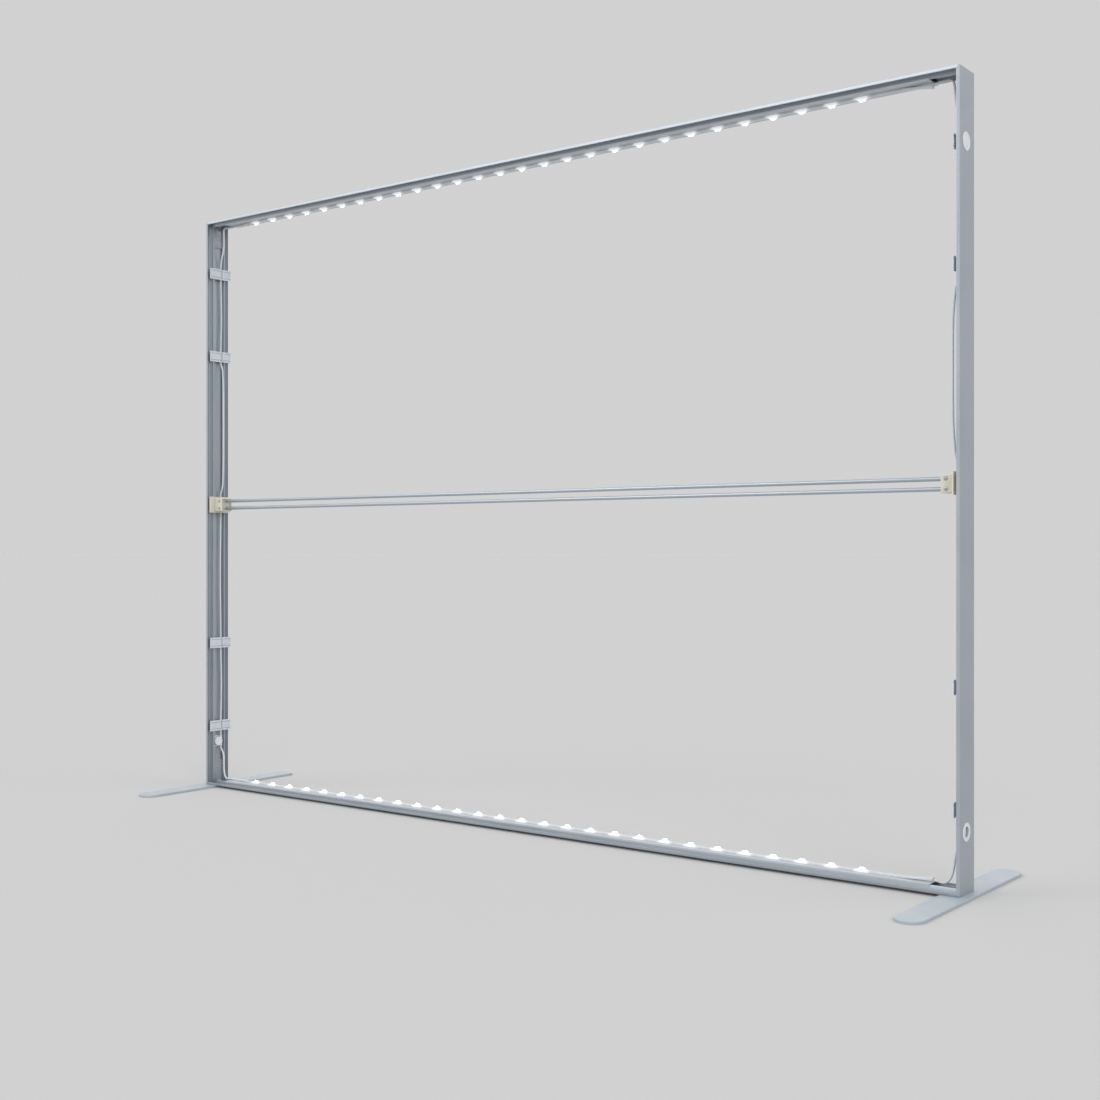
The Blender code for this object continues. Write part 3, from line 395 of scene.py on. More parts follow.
class SettledDust(Effect):
    """A thin film of dust on what faces up, gathered in soft patches."""

    name = "settled_dust"
    inputs = (("Amount", "Float", 0.3),)

    @classmethod
    def wire(cls, graph: Graph, entry: bpy.types.NodeOutputs) -> Sockets:
        """How far the surface faces up, times two scales of noise.

        Args:
            graph: the group's tree.
            entry: the group's inputs.

        Returns:
            The socket behind each output.
        """
        facing = graph.add("SeparateXYZ", Vector=graph.add("NewGeometry").outputs["Normal"])
        upward = graph.ramp(facing.outputs["Z"], 0.45, 0.95)
        film = graph.ramp(graph.noise(entry["Vector"], 28.0, 5.0, 0.65), 0.35, 0.75)
        specks = graph.ramp(graph.noise(entry["Vector"], 900.0, 2.0), 0.62, 0.70)
        return {"Mask": graph.times(graph.math("MAXIMUM", film, specks), upward, entry["Amount"])}


# Finishes: what each kind of piece is made of


class Surface:
    """A material being put together: its shader, and its colour, roughness and normal so far."""

    def __init__(self, name: str, colour: Colour, roughness: float, metallic: float = 0.0) -> None:
        """Starts from a plain shader.

        Args:
            name: the material's name.
            colour: its main colour.
            roughness: its main roughness.
            metallic: 1 for bare metal.
        """
        self.material = bpy.data.materials.new(name)
        self.material.use_nodes = True
        self.graph = Graph(self.material.node_tree)
        self.shader = self.material.node_tree.nodes["Principled BSDF"]
        self.set(Metallic=metallic)
        self.colour: object = (*colour, 1.0)
        self.roughness: object = roughness
        self.normal: Socket | None = None
        self.vector = self.graph.add("TexCoord").outputs["Object"]

    def set(self, **values: object) -> None:
        """Feeds the shader's own sockets, with _ for a space."""
        for name, value in values.items():
            self.graph.feed(self.shader.inputs[name.replace("_", " ")], value)

    def effect(self, kind: type[Effect], **values: object) -> bpy.types.NodeOutputs:
        """Places a shared group here, with its inputs by name, and gives its outputs."""
        return self.graph.add("Group", {"node_tree": kind.tree()}, Vector=self.vector,
                              **values).outputs

    def rubbed(self, box: Box, reach: float, amount: float) -> Socket:
        """The mask of a box-shaped piece's rubbed edges: how far in they run, and how strongly."""
        return self.effect(EdgeWear, Centre=box.centre, Half=box.half, Reach=reach,
                           Amount=amount)["Mask"]

    def lay(self, mask: Socket, colour: Colour | None = None, share: float = 1.0,
            rougher: float = 0.0, depth: float = 0.0) -> None:
        """Changes the finish where a mask is high.

        Args:
            mask: where.
            colour: what the colour turns to, if it does.
            share: how far it turns at most.
            rougher: what the roughness gains, or loses if negative.
            depth: how far the surface rises, in metres.
        """
        if colour is not None:
            here = self.graph.times(mask, share)
            self.colour = self.graph.mix(here, self.colour, (*colour, 1.0))
        if rougher:
            change = self.graph.times(mask, rougher)
            self.roughness = self.graph.math("ADD", self.roughness, change)
        if depth:
            bump = self.graph.add("Bump", Height=mask, Distance=depth, Strength=1.0)
            if self.normal is not None:
                self.graph.feed(bump.inputs["Normal"], self.normal)
            self.normal = bump.outputs["Normal"]

    def close(self) -> Material:
        """Joins colour, roughness and bumps to the shader.

        Returns:
            The finished material.
        """
        self.set(Base_Color=self.colour, Roughness=self.roughness)
        if self.normal is not None:
            self.set(Normal=self.normal)
        return self.material


@dataclass(frozen=True)
class Finish:
    """What a kind of piece is made of: a plain shader, and what cover lays on it."""

    colour: Colour
    tone: Colour
    roughness: float = 0.45
    metallic: float = 0.0

    def make(self, name: str, box: Box | None = None) -> Material:
        """The finish on one piece.

        Args:
            name: the material's name.
            box: the piece's box, where its edges are rubbed.

        Returns:
            The material.
        """
        surface = Surface(name, self.colour, self.roughness, self.metallic)
        self.cover(surface, box)
        return surface.close()

    def cover(self, surface: Surface, box: Box | None) -> None:
        """Lays the finish's marks on a surface, in a piece's box where it has one.

        Args:
            surface: what the marks are laid on.
            box: the piece's box, if its marks need one.
        """
        raise NotImplementedError


@dataclass(frozen=True)
class Anodised(Finish):
    """Satin anodised aluminium, drawn through a die: posts, rails and tubes."""

    colour: Colour = (0.430, 0.470, 0.515)
    tone: Colour = (0.370, 0.410, 0.455)
    roughness: float = 0.38
    metallic: float = 0.80
    bloom: Colour = (0.480, 0.510, 0.545)
    worn: Colour = (0.660, 0.680, 0.700)
    dust: Colour = (0.60, 0.60, 0.58)
    run: Run = Run.ALONG_X
    wear_reach: float = 0.0016

    def cover(self, surface: Surface, box: Box | None) -> None:
        """Draw lines along the run, slow patches, bright rubbed edges and dust.

        Args:
            surface: what the marks are laid on.
            box: the piece's box, if its marks need one.
        """
        lines = surface.effect(DrawnLines, Stretch=self.run.value)
        surface.lay(lines["Broad"], self.tone, share=0.24)
        surface.lay(lines["Mask"], self.tone, share=0.34, rougher=0.08, depth=0.000008)
        patches = surface.effect(Mottle, Scale=5.0)["Mask"]
        surface.lay(patches, self.bloom, share=0.30, rougher=0.06)
        surface.lay(surface.rubbed(box, self.wear_reach, 0.8), self.worn, share=0.6, rougher=-0.08)
        dust = surface.effect(SettledDust, Amount=0.22)["Mask"]
        surface.lay(dust, self.dust, share=0.5, rougher=0.25)


@dataclass(frozen=True)
class Sheet(Finish):
    """White-coated rolled sheet, under the lamps."""

    colour: Colour = (0.540, 0.575, 0.615)
    tone: Colour = (0.470, 0.505, 0.550)
    roughness: float = 0.42
    metallic: float = 0.35
    dust: Colour = (0.66, 0.65, 0.62)

    def cover(self, surface: Surface, box: Box | None) -> None:
        """Rolling marks along X, slow changes of gloss, and dust.

        Args:
            surface: what the marks are laid on.
            box: the piece's box, if its marks need one.
        """
        lines = surface.effect(DrawnLines, Stretch=Run.ALONG_X.value)
        surface.lay(lines["Broad"], self.tone, share=0.5)
        surface.lay(lines["Mask"], depth=0.000008)
        surface.lay(surface.effect(Mottle, Scale=9.0)["Mask"], rougher=0.10)
        dust = surface.effect(SettledDust, Amount=0.45)["Mask"]
        surface.lay(dust, self.dust, share=0.6, rougher=0.25)


@dataclass(frozen=True)
class Plated(Finish):
    """Zinc-plated or cast metal: screws, bolts, keys and contacts."""

    colour: Colour = (0.62, 0.615, 0.60)
    tone: Colour = (0.50, 0.50, 0.50)
    roughness: float = 0.30
    metallic: float = 1.0
    worn: Colour = (0.80, 0.80, 0.79)
    marks: float = 90.0
    grain: float = 1400.0

    def cover(self, surface: Surface, box: Box | None) -> None:
        """Patches of tone, a fine grain, bright edges where it has a box, and dull dust.

        Args:
            surface: what the marks are laid on.
            box: the piece's box, if its marks need one.
        """
        patches = surface.effect(Mottle, Scale=self.marks)["Mask"]
        surface.lay(patches, self.tone, share=0.7, rougher=0.14)
        surface.lay(surface.effect(MouldedGrain, Scale=self.grain)["Mask"], depth=0.000012)
        if box is not None:
            surface.lay(surface.rubbed(box, 0.0010, 1.0), self.worn, share=0.8)
        surface.lay(surface.effect(SettledDust, Amount=0.35)["Mask"], rougher=0.30)


@dataclass(frozen=True)
class Moulded(Finish):
    """Moulded plastic: clips, clamps, caps, plugs and lamp bars, each in its own colour."""

    grain: float = 1800.0
    grain_depth: float = 0.000020
    glow: float = 0.0
    glow_reach: float = 0.004
    glow_shares: Colour = (1.0, 0.85, 0.65)
    gloss: float = 0.0
    worn_gain: float = 1.12
    dust: Colour = (0.62, 0.61, 0.58)

    def cover(self, surface: Surface, box: Box | None) -> None:
        """Light through it, patches, the mould's grain, paler edges where it has a box, dust.

        Args:
            surface: what the marks are laid on.
            box: the piece's box, if its marks need one.
        """
        surface.set(Subsurface_Weight=self.glow, Subsurface_Scale=self.glow_reach,
                    Subsurface_Radius=self.glow_shares, Coat_Weight=self.gloss,
                    Coat_Roughness=0.12)
        surface.lay(surface.effect(Mottle, Scale=26.0)["Mask"], self.tone, share=0.6, rougher=0.08)
        grain = surface.effect(MouldedGrain, Scale=self.grain)["Mask"]
        surface.lay(grain, rougher=0.06, depth=self.grain_depth)
        if box is not None:
            worn = tuple(min(1.0, part * self.worn_gain) for part in self.colour)
            surface.lay(surface.rubbed(box, 0.0012, 0.8), worn, share=0.7, rougher=-0.12)
        dust = surface.effect(SettledDust, Amount=0.35)["Mask"]
        surface.lay(dust, self.dust, share=0.45, rougher=0.25)


@dataclass(frozen=True)
class Coated(Finish):
    """Powder coat on flat steel: the feet."""

    colour: Colour = (0.415, 0.465, 0.520)
    tone: Colour = (0.375, 0.425, 0.480)
    roughness: float = 0.46
    metallic: float = 0.25
    worn: Colour = (0.570, 0.590, 0.610)
    dust: Colour = (0.58, 0.58, 0.56)

    def cover(self, surface: Surface, box: Box | None) -> None:
        """A thin clear coat, patches, the powder's grain, rubbed ends and dust.

        Args:
            surface: what the marks are laid on.
            box: the piece's box, if its marks need one.
        """
        surface.set(Coat_Weight=0.18, Coat_Roughness=0.30)
        surface.lay(surface.effect(Mottle, Scale=9.0)["Mask"], self.tone, share=0.6, rougher=0.08)
        surface.lay(surface.effect(MouldedGrain, Scale=700.0)["Mask"], depth=0.000045)
        surface.lay(surface.rubbed(box, 0.0022, 0.7), self.worn, share=0.6)
        dust = surface.effect(SettledDust, Amount=0.45)["Mask"]
        surface.lay(dust, self.dust, share=0.4, rougher=0.28)


@dataclass(frozen=True)
class Sheath(Finish):
    """The soft sheath of a lead, with faint rings and scuffs that follow it along its length."""

    colour: Colour = (0.66, 0.69, 0.72)
    tone: Colour = (0.56, 0.59, 0.63)
    roughness: float = 0.48
    dust: Colour = (0.62, 0.61, 0.58)

    def cover(self, surface: Surface, box: Box | None) -> None:
        """Rings and scuffs on the lead's own map, metres along and round it, and dust.

        Args:
            surface: what the marks are laid on.
            box: the piece's box, if its marks need one.
        """
        surface.set(Sheen_Weight=0.12, Sheen_Roughness=0.5)
        here = surface.vector
        surface.vector = surface.graph.add("UVMap", {"uv_map": "along"}).outputs["UV"]
        lines = surface.effect(DrawnLines, Stretch=(6.0, 900.0, 1.0))
        surface.lay(lines["Broad"], self.tone, share=0.35)
        surface.lay(lines["Mask"], depth=0.000010)
        scuffs = surface.effect(Mottle, Scale=30.0)["Mask"]
        surface.lay(scuffs, self.tone, share=0.45, rougher=0.12)
        surface.vector = here
        surface.lay(surface.effect(SettledDust, Amount=0.4)["Mask"], self.dust, share=0.4)


@dataclass(frozen=True)
class LitLens(Finish):
    """A lens over a lit chip: far brighter over the chip than across its body, grey at its rim.

    Rim and body are given as they show; the chip shows at the full strength.
    """

    colour: Colour = (0.16, 0.17, 0.18)
    tone: Colour = (0.92, 0.95, 0.98)
    roughness: float = 0.10
    rim: Colour = (0.78, 0.84, 0.91)
    core: Colour = (1.0, 0.985, 0.96)
    strength: float = 24.0

    def cover(self, surface: Surface, box: Box | None) -> None:
        """Light by the attribute core, which says how near the chip each point is, with ripples.

        Args:
            surface: what the marks are laid on.
            box: the piece's box, if its marks need one.
        """
        graph = surface.graph
        ripple = graph.noise(surface.vector, 900.0, 2.0)
        mark = graph.add("Attribute", {"attribute_name": "core"}).outputs["Fac"]
        near = graph.math("ADD", mark, graph.times(ripple, 0.06))
        rim, body = ((*(part / self.strength for part in shade), 1.0)
                     for shade in (self.rim, self.tone))
        lens = graph.mix(graph.ramp(near, 0.05, 0.22), rim, body)
        glow = graph.mix(graph.ramp(near, 0.38, 0.72), lens, (*self.core, 1.0))
        surface.set(Coat_Weight=0.6, Coat_Roughness=0.05, Emission_Strength=self.strength,
                    Emission_Color=glow)
        surface.lay(ripple, depth=0.000030)


@dataclass(frozen=True)
class LitBar(Moulded):
    """The pale plastic of a lamp bar, which glows where a lens lights it from inside."""

    light: Colour = (1.0, 0.985, 0.96)
    strength: float = 0.40
    pitch: float = 0.0916
    lit_to: float = 0.0125
    dark_from: float = 0.0340

    def cover(self, surface: Surface, box: Box | None) -> None:
        """The plastic, and light that fades away from each lens; one stands at the box's middle.

        Args:
            surface: what the marks are laid on.
            box: the piece's box, if its marks need one.
        """
        super().cover(surface, box)
        graph = surface.graph
        along = graph.add("SeparateXYZ", Vector=surface.vector).outputs["X"]
        from_middle = graph.math("SUBTRACT", along, box.centre.x)
        step = graph.math("WRAP", from_middle, self.pitch / 2, -self.pitch / 2)
        near = graph.ramp(graph.math("ABSOLUTE", step), self.lit_to, self.dark_from, 1.0, 0.0)
        light = graph.mix(graph.times(near, near), (0.0, 0.0, 0.0, 1.0), (*self.light, 1.0))
        surface.set(Emission_Color=light, Emission_Strength=self.strength)


@dataclass(frozen=True)
class GroovedClip(Moulded):
    """The plastic of a clip, with painted shade darkening the two grooves that run across its face.
    """

    # the colour of the painted shade in the two grooves
    grime: Colour = (0.26, 0.29, 0.33)
    groove_place: float = 0.0125
    groove_inner: float = 0.0009 * 0.8
    groove_outer: float = 0.0009 * 1.15

    def cover(self, surface: Surface, box: Box | None) -> None:
        """The plastic, and painted shade in the grooves, as far above the box's middle as below it.

        Args:
            surface: what the marks are laid on.
            box: the piece's box, if its marks need one.
        """
        super().cover(surface, box)
        graph = surface.graph
        height = graph.add("SeparateXYZ", Vector=surface.vector).outputs["Z"]
        from_middle = graph.math("ABSOLUTE", graph.math("SUBTRACT", height, box.centre.z))
        offset = graph.math("SUBTRACT", from_middle, self.groove_place)
        from_groove = graph.math("ABSOLUTE", offset)
        groove = graph.ramp(from_groove, self.groove_inner, self.groove_outer, 1.0, 0.0)
        # painted shade: the grooves are darkened towards a deep grey-blue, standing in for the shade
        # that falls in them
        surface.lay(groove, self.grime, share=0.75)


class Finishes:
    """The finishes of all the sub-assemblies, each with its colour and tone first."""

    rail = Anodised()
    post = Anodised(run=Run.ALONG_Z)
    tube = Anodised((0.440, 0.490, 0.545), (0.395, 0.445, 0.500), 0.32, wear_reach=0.0004)
    carrier = Sheet()
    screw = Plated()
    clamp_screw = Plated((0.50, 0.48, 0.42), (0.42, 0.405, 0.36), 0.46)
    key = Plated((0.46, 0.49, 0.53), (0.39, 0.42, 0.46), 0.40, marks=40.0)
    contact = Plated((0.72, 0.58, 0.33), (0.60, 0.47, 0.25), 0.22)
    pad = Plated((0.70, 0.70, 0.68), (0.58, 0.58, 0.57), 0.26)
    feed = Moulded((0.62, 0.65, 0.69), (0.56, 0.59, 0.63), 0.38, gloss=0.15)
    bar = LitBar((0.62, 0.65, 0.69), (0.56, 0.59, 0.63), 0.38, gloss=0.15)
    plug = Moulded((0.64, 0.66, 0.68), (0.57, 0.59, 0.62), 0.50)
    clip = GroovedClip((0.62, 0.66, 0.71), (0.56, 0.60, 0.65), 0.42, glow=0.55, glow_reach=0.006,
                       glow_shares=(0.85, 0.92, 1.0))
    clamp = Moulded((0.66, 0.635, 0.55), (0.58, 0.565, 0.49), 0.34, glow=0.60, glow_reach=0.010,
                    gloss=0.20)
    cap = Moulded((0.72, 0.74, 0.76), (0.66, 0.68, 0.71), 0.30, gloss=0.35, grain=2600.0,
                  grain_depth=0.000008)
    socket = Moulded((0.70, 0.72, 0.74), (0.63, 0.65, 0.68), 0.40, gloss=0.15)
    lining = Moulded((0.34, 0.37, 0.40), (0.29, 0.32, 0.35))
    foot = Coated()
    lead = Sheath()
    lens = LitLens()


# Shapes: surfaces worked out as whole arrays


class Shape:
    """Points and faces gathered for one piece, with a material index for each face."""

    def __init__(self) -> None:
        """Starts empty."""
        self.points: list[np.ndarray] = []
        self.faces: list[np.ndarray] = []
        self.kinds: list[np.ndarray] = []
        self.marks: list[np.ndarray] = []
        self.count = 0

    def add(self, grid: np.ndarray, kind: int = 0, mark: np.ndarray | None = None) -> "Shape":
        """Adds a surface given as a grid of points, whose last column joins the first.

        The face at row i and column j joins points (i, j), (i, j+1), (i+1, j+1) and (i+1, j).

        Args:
            grid: points as rows, columns and coordinates.
            kind: the material index of its faces.
            mark: a value for each point, 0 where left out.

        Returns:
            The shape itself.
        """
        rows, columns = grid.shape[:2]
        number = self.count + np.arange(rows * columns).reshape(rows, columns)
        onward = np.roll(number, -1, axis=1)
        quads = np.stack((number[:-1], onward[:-1], onward[1:], number[1:]), axis=-1)
        self.points.append(grid.reshape(-1, 3))
        self.faces.append(quads.reshape(-1, 4))
        self.kinds.append(np.full(len(self.faces[-1]), kind))
        self.marks.append(np.zeros(number.size) if mark is None else mark.ravel())
        self.count += number.size
        return self

    def finish(self, name: str, sharp_degrees: float = 40.0) -> Piece:
        """Makes the piece: doubles merged, normals outward, smooth but for its sharp edges.

        Args:
            name: the piece's name.
            sharp_degrees: the angle above which an edge is sharp.

        Returns:
            The piece, at the origin.
        """
        mesh = bpy.data.meshes.new(name)
        points, faces = np.concatenate(self.points), np.concatenate(self.faces)
        mesh.vertices.add(len(points))
        mesh.vertices.foreach_set("co", points.astype(np.float32).ravel())
        mesh.loops.add(faces.size)
        mesh.loops.foreach_set("vertex_index", faces.astype(np.int32).ravel())
        mesh.polygons.add(len(faces))
        for field, values in (("loop_start", np.arange(0, faces.size, 4)),
                              ("loop_total", np.full(len(faces), 4)),
                              ("material_index", np.concatenate(self.kinds))):
            mesh.polygons.foreach_set(field, values.astype(np.int32))
        mesh.update(calc_edges=True)
        core = mesh.attributes.new("core", "FLOAT", "POINT")
        core.data.foreach_set("value", np.concatenate(self.marks).astype(np.float32))
        work = bmesh.new()
        work.from_mesh(mesh)
        bmesh.ops.remove_doubles(work, verts=work.verts, dist=MERGE_REACH)
        bmesh.ops.dissolve_degenerate(work, edges=work.edges, dist=MERGE_REACH)
        bmesh.ops.recalc_face_normals(work, faces=work.faces)
        work.to_mesh(mesh)
        work.free()
        mesh.shade_smooth()
        mesh.set_sharp_from_angle(angle=math.radians(sharp_degrees))
        return place(name, mesh)


def place(name: str, data: bpy.types.ID) -> Piece:
    """A new object at the origin.

    Args:
        name: its name.
        data: the mesh, lamp or camera that it shows.

    Returns:
        The object.
    """
    item = bpy.data.objects.new(name, data)
    bpy.context.scene.collection.objects.link(item)
    return item


def turn(steps: int) -> np.ndarray:
    """Evenly spaced angles, once round."""
    return np.linspace(0.0, 2 * np.pi, steps, endpoint=False)


def ring(first: np.ndarray, second: np.ndarray, steps: int) -> np.ndarray:
    """Unit points round one circle or many: cos a * first + sin a * second, a going once round.

    Args:
        first: the direction where a is zero, one row a circle.
        second: the direction a quarter turn on.
        steps: points in a turn.

    Returns:
        The points of each circle.
    """
    cos, sin = np.cos(turn(steps))[:, None], np.sin(turn(steps))[:, None]
    return cos * first[..., None, :] + sin * second[..., None, :]


def axis_ring(axis: Vector, steps: int) -> tuple[np.ndarray, np.ndarray]:
    """An axis as an array, and unit points round it."""
    along, across = np.array(axis.normalized()), np.array(axis.orthogonal().normalized())
    return along, ring(across, np.cross(along, across), steps)


def revolved(profile: np.ndarray, axis: Vector, origin: Vector, steps: int) -> np.ndarray:
    """Turns a profile round an axis: point (i, j) is origin + height_i * axis + radius_i * ring_j.

    Args:
        profile: radius and height, one row each.
        axis: the direction of height.
        origin: where height is zero.
        steps: points in a turn.

    Returns:
        The grid of points.
    """
    along, circle = axis_ring(axis, steps)
    radius, height = profile[:, 0, None, None], profile[:, 1, None, None]
    return np.array(origin) + height * along + radius * circle[None]


def rounded(profile: Profile, radius: float, steps: int = 3) -> np.ndarray:
    """Rounds the inner corners of a profile.

    Each corner is cut back by the radius, or by half its shorter side, and joined by the curve
    (1-t)^2 * before + 2t(1-t) * corner + t^2 * after.

    Args:
        profile: the corners in order.
        radius: how far each is cut back.
        steps: points in each curve.

    Returns:
        The rounded profile, one row a point.
    """
    corners = np.array(profile, float)
    before, corner, after = corners[:-2], corners[1:-1], corners[2:]
    back, ahead = before - corner, after - corner
    back_length = np.linalg.norm(back, axis=1, keepdims=True)
    ahead_length = np.linalg.norm(ahead, axis=1, keepdims=True)
    cut = np.minimum(radius, np.minimum(back_length, ahead_length) * 0.49)
    start, end = corner + back / back_length * cut, corner + ahead / ahead_length * cut
    t = np.linspace(0.0, 1.0, steps)[None, :, None]
    middle = 2 * t * (1 - t) * corner[:, None]
    curve = (1 - t) ** 2 * start[:, None] + middle + t ** 2 * end[:, None]
    return np.concatenate((corners[:1], curve.reshape(-1, 2), corners[-1:]))


def metres_along(line: np.ndarray) -> np.ndarray:
    """How far along a line each of its points lies."""
    return np.concatenate(([0.0], np.cumsum(np.linalg.norm(np.diff(line, axis=0), axis=1))))


def along_route(route: np.ndarray, spacing: float) -> np.ndarray:
    """Evenly spaced points on one smooth curve through a route.

    Between points p1 and p2, with neighbours p0 and p3, the curve is the cubic whose ends have the
    directions p2 - p0 and p3 - p1, scaled to the length of the stretch. The curve is then read again
    at equal steps of its own length.

    Args:
        route: the points to pass through.
        spacing: the step, about.

    Returns:
        The points.
    """
    padded = np.concatenate((2 * route[:1] - route[1:2], route, 2 * route[-1:] - route[-2:-1]))
    ways = padded[2:] - padded[:-2]
    ways /= np.linalg.norm(ways, axis=1, keepdims=True)
    start, end = route[:-1, None], route[1:, None]
    span = np.linalg.norm(end - start, axis=2, keepdims=True)
    leave, arrive = ways[:-1, None] * span, ways[1:, None] * span
    t = np.linspace(0.0, 1.0, 12, endpoint=False)[None, :, None]
    blend = t * t * (3 - 2 * t)
    dense = start + (end - start) * blend + t * (1 - t) * (leave * (1 - t) - arrive * t)
    dense = np.concatenate((dense.reshape(-1, 3), route[-1:]))
    reach = metres_along(dense)
    even = np.linspace(0.0, reach[-1], max(8, round(reach[-1] / spacing)) + 1)
    return np.stack([np.interp(even, reach, dense[:, axis]) for axis in range(3)], axis=1)


def tube(route: np.ndarray, radius: float, steps: int = 14) -> np.ndarray:
    """A round tube along a route that lies near one upright plane.

    Ring i is the circle of the radius in the plane square to the route there. Its first direction is
    the part of the Y axis that is square to the route, so that the rings never twist.

    Args:
        route: the centreline.
        radius: the tube's radius.
        steps: points in a ring.

    Returns:
        The grid of points.
    """
    way = np.gradient(route, axis=0)
    way /= np.linalg.norm(way, axis=1, keepdims=True)
    first = np.array((0.0, 1.0, 0.0)) - way * way[:, 1:2]
    first /= np.linalg.norm(first, axis=1, keepdims=True)
    return route[:, None] + radius * ring(first, np.cross(way, first), steps)


def capped(grid: np.ndarray) -> np.ndarray:
    """Closes a grid of rings at both ends, with a point in the middle of the end rings.

    Args:
        grid: the rings, one row each.

    Returns:
        The grid with a row more at each end.
    """
    first, last = (np.broadcast_to(end.mean(axis=1, keepdims=True), end.shape)
                   for end in (grid[:1], grid[-1:]))
    return np.concatenate((first, grid, last))


def enter(piece: Piece, node: str | None, body: str, slot: str, *materials: Material) -> Piece:
    """Dresses a piece and enters it in the model.

    Args:
        piece: the piece.
        node: the model's piece that it stands for, if any.
        body: the body it rides on.
        slot: not used.
        materials: one for each material index.

    Returns:
        The piece.
    """
    for material in materials:
        piece.data.materials.append(material)
    if node is not None:
        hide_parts(node)
    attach(piece, body)
    log.info("%s on %s: %d faces", piece.name, body, len(piece.data.polygons))
    return piece


def softened(node: str, kind: str, width: float, slot: str, material: Material,
             body: str = "frame", segments: int = 2) -> Piece:
    """Lets a copy of one of the model's pieces, with its edges rounded, stand for it.

    Args:
        node: the piece to copy.
        kind: the last word of the new piece's name.
        width: how far the rounding runs in from each edge.
        slot: not used; only passed on to enter, which does not use it either.
        material: what it is made of.
        body: the body it rides on.
        segments: the steps in each rounding.

    Returns:
        The new piece.
    """
    name = f"{node}_{kind}"
    mesh = FRAME["nodes"][node].data.copy()
    mesh.name = name
    mesh.materials.clear()
    work = bmesh.new()
    work.from_mesh(mesh)
    bmesh.ops.remove_doubles(work, verts=work.verts, dist=MERGE_REACH)
    bmesh.ops.dissolve_limit(work, angle_limit=math.radians(0.4), verts=work.verts,
                             edges=work.edges)
    work.to_mesh(mesh)
    work.free()
    mesh.shade_smooth()
    mesh.set_sharp_from_angle(angle=math.radians(35.0))
    piece = place(name, mesh)
    bevel = piece.modifiers.new("rounded_edges", "BEVEL")
    bevel.width = width
    bevel.segments = segments
    bevel.limit_method = "ANGLE"
    bevel.angle_limit = math.radians(38.0)
    bevel.harden_normals = True
    bevel.miter_outer = "MITER_ARC"
    return enter(piece, node, body, slot, material)


# Sub-assemblies


@dataclass
class Extrusions:
    """The mitred posts and rails, with their corner keys."""

    edge: float = 0.00035
    key_edge: float = 0.00030

    def build(self) -> None:
        """Rounds and dresses every extrusion and key."""
        for side in Side:
            self.member(f"post_{side.word}", Finishes.post)
        for rail in Rail:
            self.member(f"rail_{rail.word}", Finishes.rail)
            for side in Side:
                node = f"corner_key_{rail.word}_{side.word}"
                softened(node, "casting", self.key_edge, "key_metal",
                         Finishes.key.make(f"{node}_cast", Box.of(node)))

    def member(self, node: str, finish: Anodised) -> None:
        """One post or rail, in a finish drawn its way."""
        softened(node, "extrusion", self.edge, "frame_coat",
                 finish.make(f"{node}_anodised", Box.of(node)))


@dataclass(frozen=True)
class Seat:
    """Where a lamp bar lies: the height of its underside, and the way that its lamps face."""

    floor: float
    way: int

    def up(self, rise: np.ndarray | float) -> np.ndarray | float:
        """The height of what stands that far from the underside."""
        return self.floor + self.way * rise


